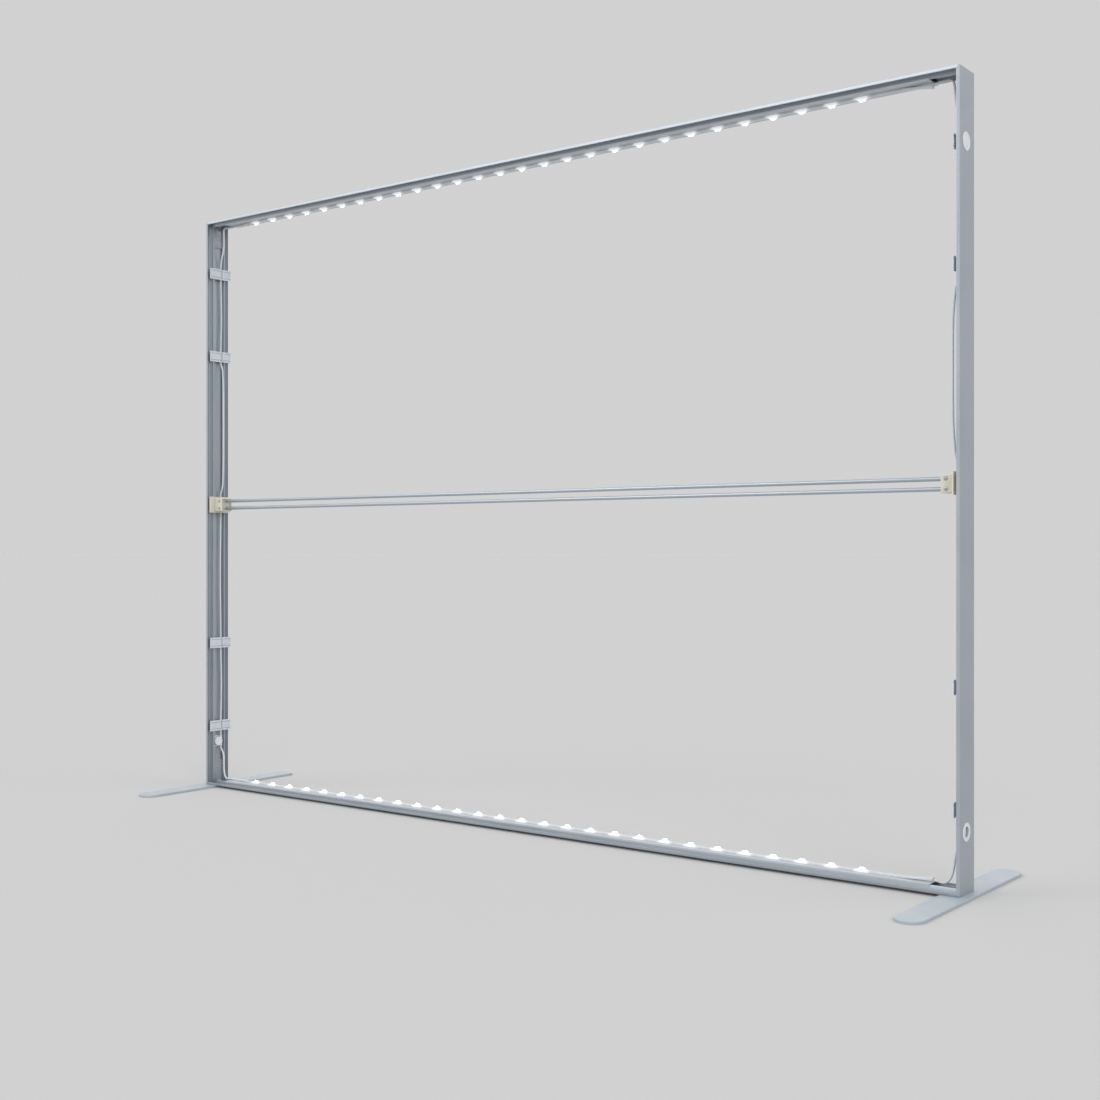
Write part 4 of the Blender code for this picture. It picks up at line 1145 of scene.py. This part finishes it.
@dataclass
class LampRows:
    """The lamp rows of both rails: carriers, bars with their lenses, feed bars and lead plugs."""

    bars_per_rail: int = 4
    lamps_per_bar: int = 7
    pitch: float = LitBar.pitch
    tray_edge: float = 0.00018
    end_edge: float = 0.0004
    bar_width: float = 0.0140
    bar_height: float = 0.0050
    bar_round: float = 0.0012
    lens_size: Point = (0.0260, 0.0110, 0.0056)
    holder_size: Point = (0.0284, 0.0128, 0.0007)
    sunk: float = 0.0002
    rivet_radius: float = 0.0021
    rivet_rise: float = 0.0006
    rivet_inset: float = 0.0125
    pad_size: Point = (0.0040, 0.0030, 0.0003)
    pad_place: float = 0.0050

    def build(self) -> None:
        """Makes and dresses both rows."""
        lens = Finishes.lens.make("lit_lens")
        pad = Finishes.pad.make("bar_pads")
        for rail in Rail:
            carrier = f"lamp_carrier_{rail.word}"
            softened(carrier, "tray", self.tray_edge, "carrier_metal",
                     Finishes.carrier.make(f"{carrier}_sheet"))
            for index in range(1, self.bars_per_rail + 1):
                self.bar(f"lamp_bar_{rail.word}_{index}", rail, lens, pad)
            for kind, finish, slot in (("feed_bar", Finishes.feed, "lamp_plastic"),
                                       ("lead_plug", Finishes.plug, "plug_plastic")):
                node = f"{kind}_{rail.word}"
                softened(node, "moulding", self.end_edge, slot,
                         finish.make(f"{node}_plastic", Box.of(node)))

    def bar(self, node: str, rail: Rail, lens: Material, pad: Material) -> None:
        """One lamp bar with its lenses.

        Args:
            node: the bar's name in the model.
            rail: the rail that carries it.
            lens: the material of the lit lenses.
            pad: the material of its rivets and solder pads.
        """
        box = Box.of(node)
        middle = box.centre.x
        seat = Seat(box.low.z if rail is Rail.BOTTOM else box.high.z, rail.value)
        shape = Shape().add(self.body(box, seat))
        for lamp in range(self.lamps_per_bar):
            x = middle + self.pitch * (lamp - (self.lamps_per_bar - 1) / 2)
            shape.add(self.block(x, self.holder_size, 4.0, seat))
            points, near = self.dome(x, seat)
            shape.add(points, 1, near)
            for sign in (-1, 1):
                away = x + sign * (self.holder_size[0] / 2 + self.pad_place)
                shape.add(self.block(away, self.pad_size, 6.0, seat), 2)
        radius, rise = self.rivet_radius, self.rivet_rise
        head = rounded([(0, rise), (radius * 0.6, rise), (radius, 0), (radius, -rise)], rise)
        for sign in (-1, 1):
            x = middle + sign * (box.half.x - self.rivet_inset)
            origin = Vector((x, 0.0, seat.up(self.bar_height)))
            shape.add(revolved(head, Vector((0, 0, seat.way)), origin, 20), 2)
        enter(shape.finish(f"{node}_lit", 50.0), node, "frame", "lamp_plastic",
              Finishes.bar.make(f"{node}_plastic", box), lens, pad)

    def body(self, box: Box, seat: Seat) -> np.ndarray:
        """The bar's body: a section with two rounded free edges, carried along X.

        Args:
            box: the bar's box.
            seat: where the bar lies.

        Returns:
            The grid of points, closed at both ends.
        """
        half, top, draw_in = self.bar_width / 2, self.bar_height, 0.0004
        section = rounded([(-half, 0), (-half, top), (half, top), (half, 0)], self.bar_round, 4)
        ends = np.array((box.low.x, box.low.x + draw_in, box.high.x - draw_in, box.high.x))
        shrink = np.array((0.97, 1.0, 1.0, 0.97))[:, None]
        return capped(np.stack(np.broadcast_arrays(
            ends[:, None], section[:, 0] * shrink, seat.up(section[:, 1] * shrink)), axis=-1))

    def rings(self, x: float, size: Point, power: float, steps: int, scale: np.ndarray,
              rise: np.ndarray, seat: Seat) -> np.ndarray:
        """Rings of a squared ellipse, |x/a|^p + |y/b|^p = 1, drawn in and raised off the bar.

        At angle t the ellipse lies at a and b times the signed 2/p powers of cos t and sin t.

        Args:
            x: their middle along the bar.
            size: the outline's length and width, and its height.
            power: how square the outline is.
            steps: points in a ring.
            scale: the size of each ring.
            rise: the height of each ring above the bar's underside.
            seat: where the bar lies.

        Returns:
            The grid of points.
        """
        cos, sin = np.cos(turn(steps)), np.sin(turn(steps))
        ring_x = np.sign(cos) * np.abs(cos) ** (2 / power) * size[0] / 2
        ring_y = np.sign(sin) * np.abs(sin) ** (2 / power) * size[1] / 2
        scale, rise = scale[:, None], rise[:, None]
        return np.stack(np.broadcast_arrays(
            x + scale * ring_x, scale * ring_y, seat.up(rise)), axis=-1)

    def block(self, x: float, size: Point, power: float, seat: Seat) -> np.ndarray:
        """A low pad with rounded corners on the bar's face: three rings under a flat top."""
        rise = self.bar_height + np.array((-self.sunk, size[2] * 0.7, size[2]))
        return capped(self.rings(x, size, power, 24, np.array((1.0, 1.0, 0.96)), rise, seat))

    def dome(self, x: float, seat: Seat) -> tuple[np.ndarray, np.ndarray]:
        """One lens: an oblong dome that is steep at its rim and flat over the chip.

        The ring at share s of the half size stands at height * (1 - s^3.2)^0.5.

        Args:
            x: its middle along the bar.
            seat: where the bar lies.

        Returns:
            The grid of points, and how near the chip each one is.
        """
        base = self.bar_height + self.holder_size[2] * 0.5
        height = self.lens_size[2] - (base - self.bar_height)
        share = np.sin(np.linspace(np.pi / 2, 0.0, 12))
        rise = base + height * np.sqrt(1 - share ** 3.2)
        grid = self.rings(x, self.lens_size, 3.0, 32, share, rise, seat)
        return grid, np.broadcast_to(1.0 - share[:, None], grid.shape[:2])


# The leads' routes are those of the model's own leads: every point is a reach from the middle of the
# wall, a depth and a height. LEAVE_ROW holds the first points of the top leads. A bottom lead starts
# with the same points turned upside down, so that each height and its fellow make BOTH_HEIGHTS.

BOTH_HEIGHTS = 2.1666
LEAVE_ROW: dict[Side, list[Point]] = {
    Side.LEFT: [(1.3376, 0, 2.1352), (1.3436, 0, 2.1352), (1.36, 0, 2.1356),
                (1.392, 0.0006, 2.1357), (1.408, 0.0006, 2.1356)],
    Side.RIGHT: [(1.4141, 0, 2.1349), (1.4201, 0, 2.1349)],
}
ROUND_CORNER: dict[Rail, list[Point]] = {
    Rail.TOP: [(1.428, 0.0003, 2.1372), (1.438, 0.001, 2.1377), (1.451, 0.003, 2.1382),
               (1.4568, 0.0038, 2.1375), (1.4604, 0.0044, 2.1351), (1.463, 0.0048, 2.1305),
               (1.4643, 0.0053, 2.1243), (1.465, 0.0064, 2.1142), (1.4653, 0.0073, 2.1036),
               (1.466, 0.0082, 2.0929), (1.4669, 0.009, 2.0822), (1.4692, 0.0097, 2.0653),
               (1.4744, 0.01, 2.0453), (1.4817, 0.01, 2.0243)],
    Rail.BOTTOM: [(1.428, 0, 0.0289), (1.4374, 0.0004, 0.0287), (1.4432, 0.0011, 0.0305),
                  (1.449, 0.002, 0.0349), (1.4537, 0.0029, 0.0413), (1.4574, 0.0038, 0.0493),
                  (1.4605, 0.0047, 0.0603), (1.4627, 0.0056, 0.0713), (1.4649, 0.0072, 0.0913),
                  (1.4677, 0.009, 0.1113), (1.4738, 0.0099, 0.1263), (1.482, 0.01, 0.1373),
                  (1.4866, 0.01, 0.143), (1.4866, 0.01, 0.149)],
}
BOW_HEIGHTS = (1.5973, 1.5712, 1.5312, 1.4811, 1.386, 1.2908, 1.2308, 1.1857, 1.1481)
BOW_REACHES = {
    Side.LEFT: (1.4766, 1.4745, 1.4725, 1.4716, 1.4714, 1.4716, 1.4722, 1.4739, 1.4766),
    Side.RIGHT: (1.4674, 1.4634, 1.4597, 1.458, 1.4577, 1.458, 1.4591, 1.4623, 1.4674),
}


@dataclass
class Leads:
    """The four leads and the shrunk sleeves where they leave the lamp rows."""

    radius: float = 0.0033
    spacing: float = 0.0045
    sleeve_length: float = 0.0125
    sleeve_radius: float = 0.0039
    channel_reach: float = 1.4866
    channel_depth: float = 0.0100
    sway: float = 0.0024
    clip_heights: tuple[float, ...] = (1.9643, 1.6473, 0.5483, 0.2303)
    clip_grip: tuple[float, ...] = (0.0260, 0.0200, -0.0200, -0.0260)
    clamp_height: float = 1.0781
    clamp_grip: tuple[float, ...] = (0.0425, 0.0305, -0.0305, -0.0425)
    end_height: float = 0.1916

    def build(self) -> None:
        """Makes and dresses every lead."""
        for side in Side:
            for rail in (Rail.TOP, Rail.BOTTOM):
                self.lead(f"lead_{rail.word}_{side.word}", self.route(side, rail))

    def route(self, side: Side, rail: Rail) -> np.ndarray:
        """The points of one lead.

        Args:
            side: the post that it runs to.
            rail: the rail that it comes from.

        Returns:
            The points, from its row to its end in the post's channel.
        """
        start, rest = LEAVE_ROW[side], self.down_channel(side)
        if rail is Rail.BOTTOM:
            start, rest = [(x, y, BOTH_HEIGHTS - z) for x, y, z in start], []
        return np.array([*start, *ROUND_CORNER[rail], *rest]).round(4) * (side.value, 1, 1)

    def down_channel(self, side: Side) -> list[Point]:
        """A top lead's way down its post: held by clips and clamp, with one bow and small sways.

        Args:
            side: the post.

        Returns:
            The points from the highest clip on.
        """
        reach, depth = self.channel_reach, self.channel_depth
        first, second, third, last = self.clip_heights

        def held(middle: float, grip: tuple[float, ...]) -> list[Point]:
            """The points at a clip or a clamp."""
            return [(reach, depth, middle + step) for step in grip]

        def swayed(above: float, below: float, way: int) -> Point:
            """The point halfway between two holds."""
            return reach, depth + way * self.sway, (above + below) / 2

        bow = [(out, depth, height) for out, height in zip(BOW_REACHES[side], BOW_HEIGHTS)]
        return [*held(first, self.clip_grip), swayed(first, second, 1),
                *held(second, self.clip_grip), *bow,
                *held(self.clamp_height, self.clamp_grip), swayed(self.clamp_height, third, -1),
                *held(third, self.clip_grip), swayed(third, last, 1),
                *held(last, self.clip_grip[:3]), (reach, depth, self.end_height)]

    def lead(self, node: str, points: np.ndarray) -> None:
        """One lead.

        Args:
            node: its name in the model.
            points: its route's points.
        """
        route = along_route(points, self.spacing)
        reach = metres_along(route)
        piece = Shape().add(capped(tube(route, self.radius))).finish(f"{node}_cable", 60.0)
        self.map_along(piece.data, route, reach)
        enter(piece, node, "frame", "lead_sheath", Finishes.lead.make(f"{node}_sheath"))
        sleeve = self.sleeve(node, along_route(points, self.spacing / 6))

    def map_along(self, mesh: bpy.types.Mesh, route: np.ndarray, reach: np.ndarray) -> None:
        """Gives a lead's mesh a map of metres along it and metres round it.

        Each point takes the reach of the nearest route point, and its turn about Y and the side.

        Args:
            mesh: the lead's mesh.
            route: its centreline.
            reach: the metres along at each of its points.
        """
        points = np.empty(len(mesh.vertices) * 3)
        mesh.vertices.foreach_get("co", points)
        points = points.reshape(-1, 3)
        near = ((points[:, None, :] - route[None, :, :]) ** 2).sum(axis=2).argmin(axis=1)
        away = points - route[near]
        side = np.hypot(away[:, 0], away[:, 2]) * np.sign(away[:, 0] + away[:, 2] + 1e-9)
        round_it = np.abs(np.arctan2(away[:, 1], side) * self.radius)
        loops = np.empty(len(mesh.loops), dtype=np.int32)
        mesh.loops.foreach_get("vertex_index", loops)
        flat = np.stack((reach[near], round_it), axis=1)[loops]
        mesh.uv_layers.new(name="along").data.foreach_set("uv", flat.astype(np.float32).ravel())

    def sleeve(self, node: str, route: np.ndarray) -> Piece:
        """The shrunk sleeve over a lead's first stretch, drawn in to the lead at its far end.

        Its radius is that of the lead plus a part that falls off with the 7th power of the way
        along, and a faint wave.

        Args:
            node: the lead's name in the model.
            route: the lead's centreline in fine steps.

        Returns:
            The sleeve.
        """
        part = route[metres_along(route) <= self.sleeve_length]
        share = np.linspace(0.0, 1.0, len(part))
        lead = self.radius - 0.0001
        width = lead + (self.sleeve_radius - lead) * np.clip(1.12 - share ** 7 * 1.12, 0.0, 1.0)
        width += 0.00008 * np.sin(share * 31.0)
        centre = part[:, None]
        rings = centre + (tube(part, 1.0, 20) - centre) * width[:, None, None]
        piece = Shape().add(capped(rings)).finish(f"{node}_sleeve", 60.0)
        return enter(piece, None, "frame", "plug_plastic",
                     Finishes.plug.make(f"{node}_sleeve_plastic"))


@dataclass
class Clips:
    """The clips that hold the leads in the posts' channels."""

    per_post: int = 4
    edge: float = 0.00035

    def build(self) -> None:
        """Rounds and dresses every clip."""
        for side in Side:
            for index in range(1, self.per_post + 1):
                node = f"cable_clip_{side.word}_{index}"
                softened(node, "moulding", self.edge, "clip_plastic",
                         Finishes.clip.make(f"{node}_plastic", Box.of(node)))


def socket_screw(origin: Vector, axis: Vector, head: Profile, size: float, depth: float,
                 steps: int = 36) -> np.ndarray:
    """A screw with a hexagon socket in its top.

    The first rings follow the hexagon, whose reach is size / cos of the angle from its nearest flat,
    from the socket's floor up its walls to a small chamfer. The rest are circles that follow the
    head's profile down to the shank.

    Args:
        origin: the middle of the head's top.
        axis: the way out of the head.
        head: radius and height of the profile from the top's rim down to the shank's end.
        size: half the socket's width across flats.
        depth: the socket's depth.
        steps: points in a turn.

    Returns:
        The grid of points.
    """
    along, circle = axis_ring(axis, steps)
    flat = size / np.cos((turn(steps) + np.pi / 6) % (np.pi / 3) - np.pi / 6)
    radius, fall = np.array(head).T
    reach = np.concatenate((np.array((0.0, 0.96, 1.0, 1.0, 1.10))[:, None] * flat,
                            np.repeat(radius[:, None], steps, axis=1)))
    height = np.concatenate(((-depth * 1.12, -depth, -depth * 0.94, -size * 0.12, 0.0), fall))
    grid = np.array(origin) + height[:, None, None] * along + reach[..., None] * circle[None]
    return capped(grid)[1:]


@dataclass
class Screws:
    """Every screw and bolt, each with its hexagon socket."""

    clamp_head: float = 0.0056
    clamp_rise: float = 0.0026
    clamp_shank: float = 0.0020
    key_radius: float = 0.0030
    key_chamfer: float = 0.0004
    key_depth: float = 0.0022
    hexagon: float = 0.0015
    bolt_edge: float = 0.0002
    dome: tuple[tuple[float, float], ...] = (
        (0.50, 0.04), (0.72, 0.16), (0.88, 0.40), (0.97, 0.70), (1.0, 0.90), (1.0, 1.0))

    def build(self) -> None:
        """Makes and dresses the clamps' screws, the keys' set screws and the feet's bolts."""
        for side in Side:
            for row in ("lower", "upper"):
                self.clamp_screw(f"clamp_screw_{side.word}_{row}")
            for rail in Rail:
                node = f"key_screw_{rail.word}_{side.word}"
                self.key_screw(f"{node}_rail", Vector((0, 0, rail.value)))
                self.key_screw(f"{node}_post", -side.outward)
            node = f"foot_bolt_{side.word}"
            softened(node, "steel", self.bolt_edge, "plated_steel",
                     Finishes.screw.make(f"{node}_zinc", Box.of(node)))

    def clamp_screw(self, node: str) -> None:
        """One domed screw in the front of a clamp.

        Args:
            node: its name in the model.
        """
        box = Box.of(node)
        radius, rise, shank = self.clamp_head, self.clamp_rise, self.clamp_shank
        profile = [(radius * out, -rise * down) for out, down in self.dome]
        profile += [(shank, -rise), (shank, -(box.high.y - box.low.y))]
        origin = Vector((box.centre.x, box.low.y, box.centre.z))
        grid = socket_screw(origin, Vector((0, -1, 0)), profile, self.hexagon, rise * 0.62)
        self.finish(node, grid, "crossbar", Finishes.clamp_screw)

    def key_screw(self, node: str, axis: Vector) -> None:
        """One set screw, with a chamfered rim.

        Args:
            node: its name in the model.
            axis: the way that its socket faces.
        """
        box, radius, cut = Box.of(node), self.key_radius, self.key_chamfer
        length = abs(2 * box.half.dot(axis))
        rim = radius - cut
        profile = [(rim, 0.0), (radius, -cut), (radius, -length + cut), (rim, -length)]
        origin = box.centre + axis * length / 2
        grid = socket_screw(origin, axis, profile, self.hexagon, self.key_depth)
        self.finish(node, grid, "frame", Finishes.screw)

    def finish(self, node: str, grid: np.ndarray, body: str, finish: Plated) -> None:
        """Lets a screw's grid stand for its node, on a body and in a finish."""
        enter(Shape().add(grid).finish(f"{node}_steel", 35.0), node, body, "plated_steel",
              finish.make(f"{node}_zinc"))


@dataclass
class Crossbar:
    """The double crossbar: two tubes between two moulded clamps."""

    radius: float = 0.0060
    wall: float = 0.0010
    bore_depth: float = 0.020
    end_round: float = 0.0003
    clamp_edge: float = 0.0007

    def build(self) -> None:
        """Makes and dresses the tubes and the clamps."""
        for row in ("lower", "upper"):
            self.tube(f"crossbar_rod_{row}")
        for side in Side:
            node = f"crossbar_clamp_{side.word}"
            softened(node, "moulding", self.clamp_edge, "clamp_plastic",
                     Finishes.clamp.make(f"{node}_plastic", Box.of(node)), "crossbar", 3)

    def tube(self, node: str) -> None:
        """One tube: its outer wall, two rounded ends and a bore that reaches a little way in.

        Args:
            node: its name in the model.
        """
        box, radius, deep = Box.of(node), self.radius, self.bore_depth
        length, bore = 2 * box.half.x, radius - self.wall
        profile = [(0, deep), (bore, deep), (bore, 0), (radius, 0), (radius, length),
                   (bore, length), (bore, length - deep), (0, length - deep)]
        origin = Vector((box.low.x, box.centre.y, box.centre.z))
        grid = revolved(rounded(profile, self.end_round), Vector((1, 0, 0)), origin, 40)
        enter(Shape().add(grid).finish(f"{node}_tube"), node, "crossbar", "rod_metal",
              Finishes.tube.make(f"{node}_anodised", box))


@dataclass
class Feet:
    """The two flat feet, which swivel under the posts."""

    edge: float = 0.0011

    def build(self) -> None:
        """Rounds and dresses both feet."""
        for side in Side:
            node = f"foot_{side.word}"
            softened(node, "plate", self.edge, "foot_coat",
                     Finishes.foot.make(f"{node}_powder_coat", Box.of(node)), node, 3)


@dataclass
class PostFittings:
    """What fills the holes in the posts' outer sides: caps above, sockets below."""

    flange_radius: float = 0.0250
    flange_thick: float = 0.0018
    skirt_radius: float = 0.0217
    skirt_wall: float = 0.0020
    cap_ring: float = 0.0165
    cap_round: float = 0.0005
    housing_edge: float = 0.0003
    socket_place: tuple[float, float] = (-0.0040, 0.1703)
    cup_radius: float = 0.0149
    cup_floor: float = 0.0058
    cup_mouth: float = 0.0004
    lining_wall: float = 0.0007
    pin_radius: float = 0.0011
    pin_circle: float = 0.0070
    pin_count: int = 3
    pin_base: float = 0.0118
    pin_top: float = 0.0064

    def build(self) -> None:
        """Makes and dresses both caps and both sockets."""
        for side in Side:
            self.cap(side)
        self.socket("power_inlet", Side.RIGHT)
        self.socket("link_outlet", Side.LEFT)

    def cap(self, side: Side) -> None:
        """One snap-in cap: a crowned face with a shallow ring, a rounded rim and a hollow skirt.

        Args:
            side: the post that it's in.
        """
        node = f"hole_cap_{side.word}"
        box = Box.of(node)
        origin = Vector((side.face(box), box.centre.y, box.centre.z))
        depth, edge, line = 2 * box.half.x, self.flange_radius, self.cap_ring
        skirt, inner = self.skirt_radius, self.skirt_radius - self.skirt_wall
        under, inside = -self.flange_thick + 0.0003, -self.flange_thick - 0.0006
        profile = [(0, -0.00005), (0.0016, -0.00005), (0.0020, -0.00030), (0.0024, 0.0),
                   (line - 0.0009, -0.00010), (line, -0.00085), (line + 0.0009, -0.00015),
                   (edge - 0.0012, -0.00025), (edge, -0.0010), (edge, under), (skirt, under),
                   (skirt, -depth), (inner, -depth), (inner, inside), (0, inside)]
        grid = revolved(rounded(profile, self.cap_round), side.outward, origin, 72)
        enter(Shape().add(grid).finish(f"{node}_moulding", 50.0), node, f"cap_{side.word}",
              "cap_plastic", Finishes.cap.make(f"{node}_plastic"))

    def socket(self, node: str, side: Side) -> None:
        """One socket, with a grey lining in its cup and a contact in each of its holes.

        Args:
            node: its name in the model.
            side: the post that it's in.
        """
        softened(node, "housing", self.housing_edge, "socket_plastic",
                 Finishes.socket.make(f"{node}_plastic"))
        face = side.face(Box.of(node)) - side.value * self.flange_thick
        hole = Vector((face, *self.socket_place))
        outer, floor, mouth = self.cup_radius, -self.cup_floor, -self.cup_mouth
        inner = outer - self.lining_wall
        profile = rounded([(inner, floor), (outer, floor), (outer, mouth), (inner, mouth),
                           (inner, floor)], 0.0002)
        lining = Shape().add(revolved(profile, side.outward, hole, 64))
        enter(lining.finish(f"{node}_lining"), None, "frame", "socket_plastic",
              Finishes.lining.make(f"{node}_lining_plastic"))
        base, top, radius = -self.pin_base, -self.pin_top, self.pin_radius
        tip = rounded([(0, top), (radius, top), (radius, base), (0, base)], 0.0006, 4)
        pins = Shape()
        for index in range(self.pin_count):
            angle = 2 * math.pi * index / self.pin_count
            up, across = self.pin_circle * math.cos(angle), self.pin_circle * math.sin(angle)
            here = hole + Vector((0, across * side.value, up))
            pins.add(revolved(tip, side.outward, here, 20))
        enter(pins.finish(f"{node}_contacts"), None, "frame", "plated_steel",
              Finishes.contact.make(f"{node}_brass"))


# The studio


@dataclass(frozen=True)
class Lamp:
    """A wide soft lamp far away: where it shines from, how strong it is and how soft."""

    name: str
    azimuth: float
    height: float
    strength: float
    softness: float


@dataclass
class Studio:
    """The floor, the lamps, the world and the camera."""

    floor_reach: float = 400.0
    tone: float = 0.64
    ambient: float = 0.58
    lens: float = 48.0
    sensor: float = 36.0
    eye: Point = (2.9802, -3.6851, 0.9045)
    yaw: float = 37.75
    lamp_distance: float = 8.0
    lamps: tuple[Lamp, ...] = (
        Lamp("key_lamp", 238.0, 34.0, 0.95, 44.0),
        Lamp("side_lamp", 314.0, 26.0, 1.00, 50.0),
        Lamp("right_lamp", 26.0, 34.0, 0.45, 55.0),
        Lamp("rear_lamp", 122.0, 32.0, 0.40, 60.0),
        Lamp("left_lamp", 185.0, 22.0, 0.40, 60.0),
    )

    def build(self) -> None:
        """Makes all of it but the camera."""
        self.make_floor()
        self.make_world()
        for lamp in self.lamps:
            self.make_lamp(lamp)
        bpy.context.scene.view_settings.view_transform = "Standard"

    def light_on_floor(self) -> float:
        """What a white floor would send back: the world, and each lamp by the height it is at."""
        lamps = sum(lamp.strength * math.sin(math.radians(lamp.height)) for lamp in self.lamps)
        return self.ambient + lamps / math.pi

    def make_floor(self) -> None:
        """A large plain floor that reads as pale as the air behind it and keeps the shadow."""
        reach, white = self.floor_reach, self.tone / self.light_on_floor()
        mesh = bpy.data.meshes.new("floor")
        mesh.from_pydata([(-reach, -reach, 0), (reach, -reach, 0), (reach, reach, 0),
                          (-reach, reach, 0)], [], [(0, 1, 2, 3)])
        paper = Surface("floor_paper", (white, white, white), 1.0)
        paper.set(Specular_IOR_Level=0.0)
        mesh.materials.append(paper.close())
        place("floor", mesh)

    def make_world(self) -> None:
        """A soft even light, seen in the floor's own tone by the camera and in reflections."""
        world = bpy.data.worlds.new("studio_air")
        bpy.context.scene.world = world
        world.use_nodes = True
        graph = Graph(world.node_tree)
        path = graph.add("LightPath").outputs
        seen = graph.math("MAXIMUM", path["Is Camera Ray"],
                          graph.math("MAXIMUM", path["Is Glossy Ray"],
                                     path["Is Transmission Ray"]))
        strength = graph.add("MapRange", Value=seen, To_Min=self.ambient, To_Max=self.tone)
        air = world.node_tree.nodes["Background"].inputs
        graph.feed(air["Strength"], strength.outputs[0])
        graph.feed(air["Color"], (1.0, 1.0, 1.0, 1.0))

    def make_lamp(self, lamp: Lamp) -> None:
        """Places one lamp.

        Args:
            lamp: where it shines from, how strong it is and how soft.
        """
        data = bpy.data.lights.new(lamp.name, "SUN")
        data.energy = lamp.strength
        data.angle = math.radians(lamp.softness)
        turned, rise = math.radians(lamp.azimuth), math.radians(lamp.height)
        way = Vector((math.cos(turned) * math.cos(rise), math.sin(turned) * math.cos(rise),
                      math.sin(rise)))
        item = place(lamp.name, data)
        item.location = way * self.lamp_distance
        item.rotation_euler = way.to_track_quat("Z", "Y").to_euler()

    def make_camera(self) -> None:
        """The camera of the photograph: level, at about chest height, turned to its left."""
        data = bpy.data.cameras.new("camera")
        data.lens = self.lens
        data.sensor_width = self.sensor
        item = place("camera", data)
        item.location = self.eye
        item.rotation_euler = Euler((math.pi / 2, 0.0, math.radians(self.yaw)))
        bpy.context.scene.camera = item


def corners(box: tuple[Vector, Vector]) -> list[list[float]]:
    """The lowest and highest corner of a box as plain lists of numbers."""
    return [[float(value) for value in corner] for corner in box]


def main() -> None:
    """Builds the camera and the leads, then the rest of the model's looks and the studio."""
    logging.basicConfig(level=logging.INFO, format="%(message)s")
    FRAME.update(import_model())
    studio = Studio()
    studio.make_camera()
    for assembly in (Leads(), Extrusions(), LampRows(), Clips(), Crossbar(), Screws(), Feet(),
                     PostFittings()):
        assembly.build()
    studio.build()


if __name__ == "__main__":
    main()
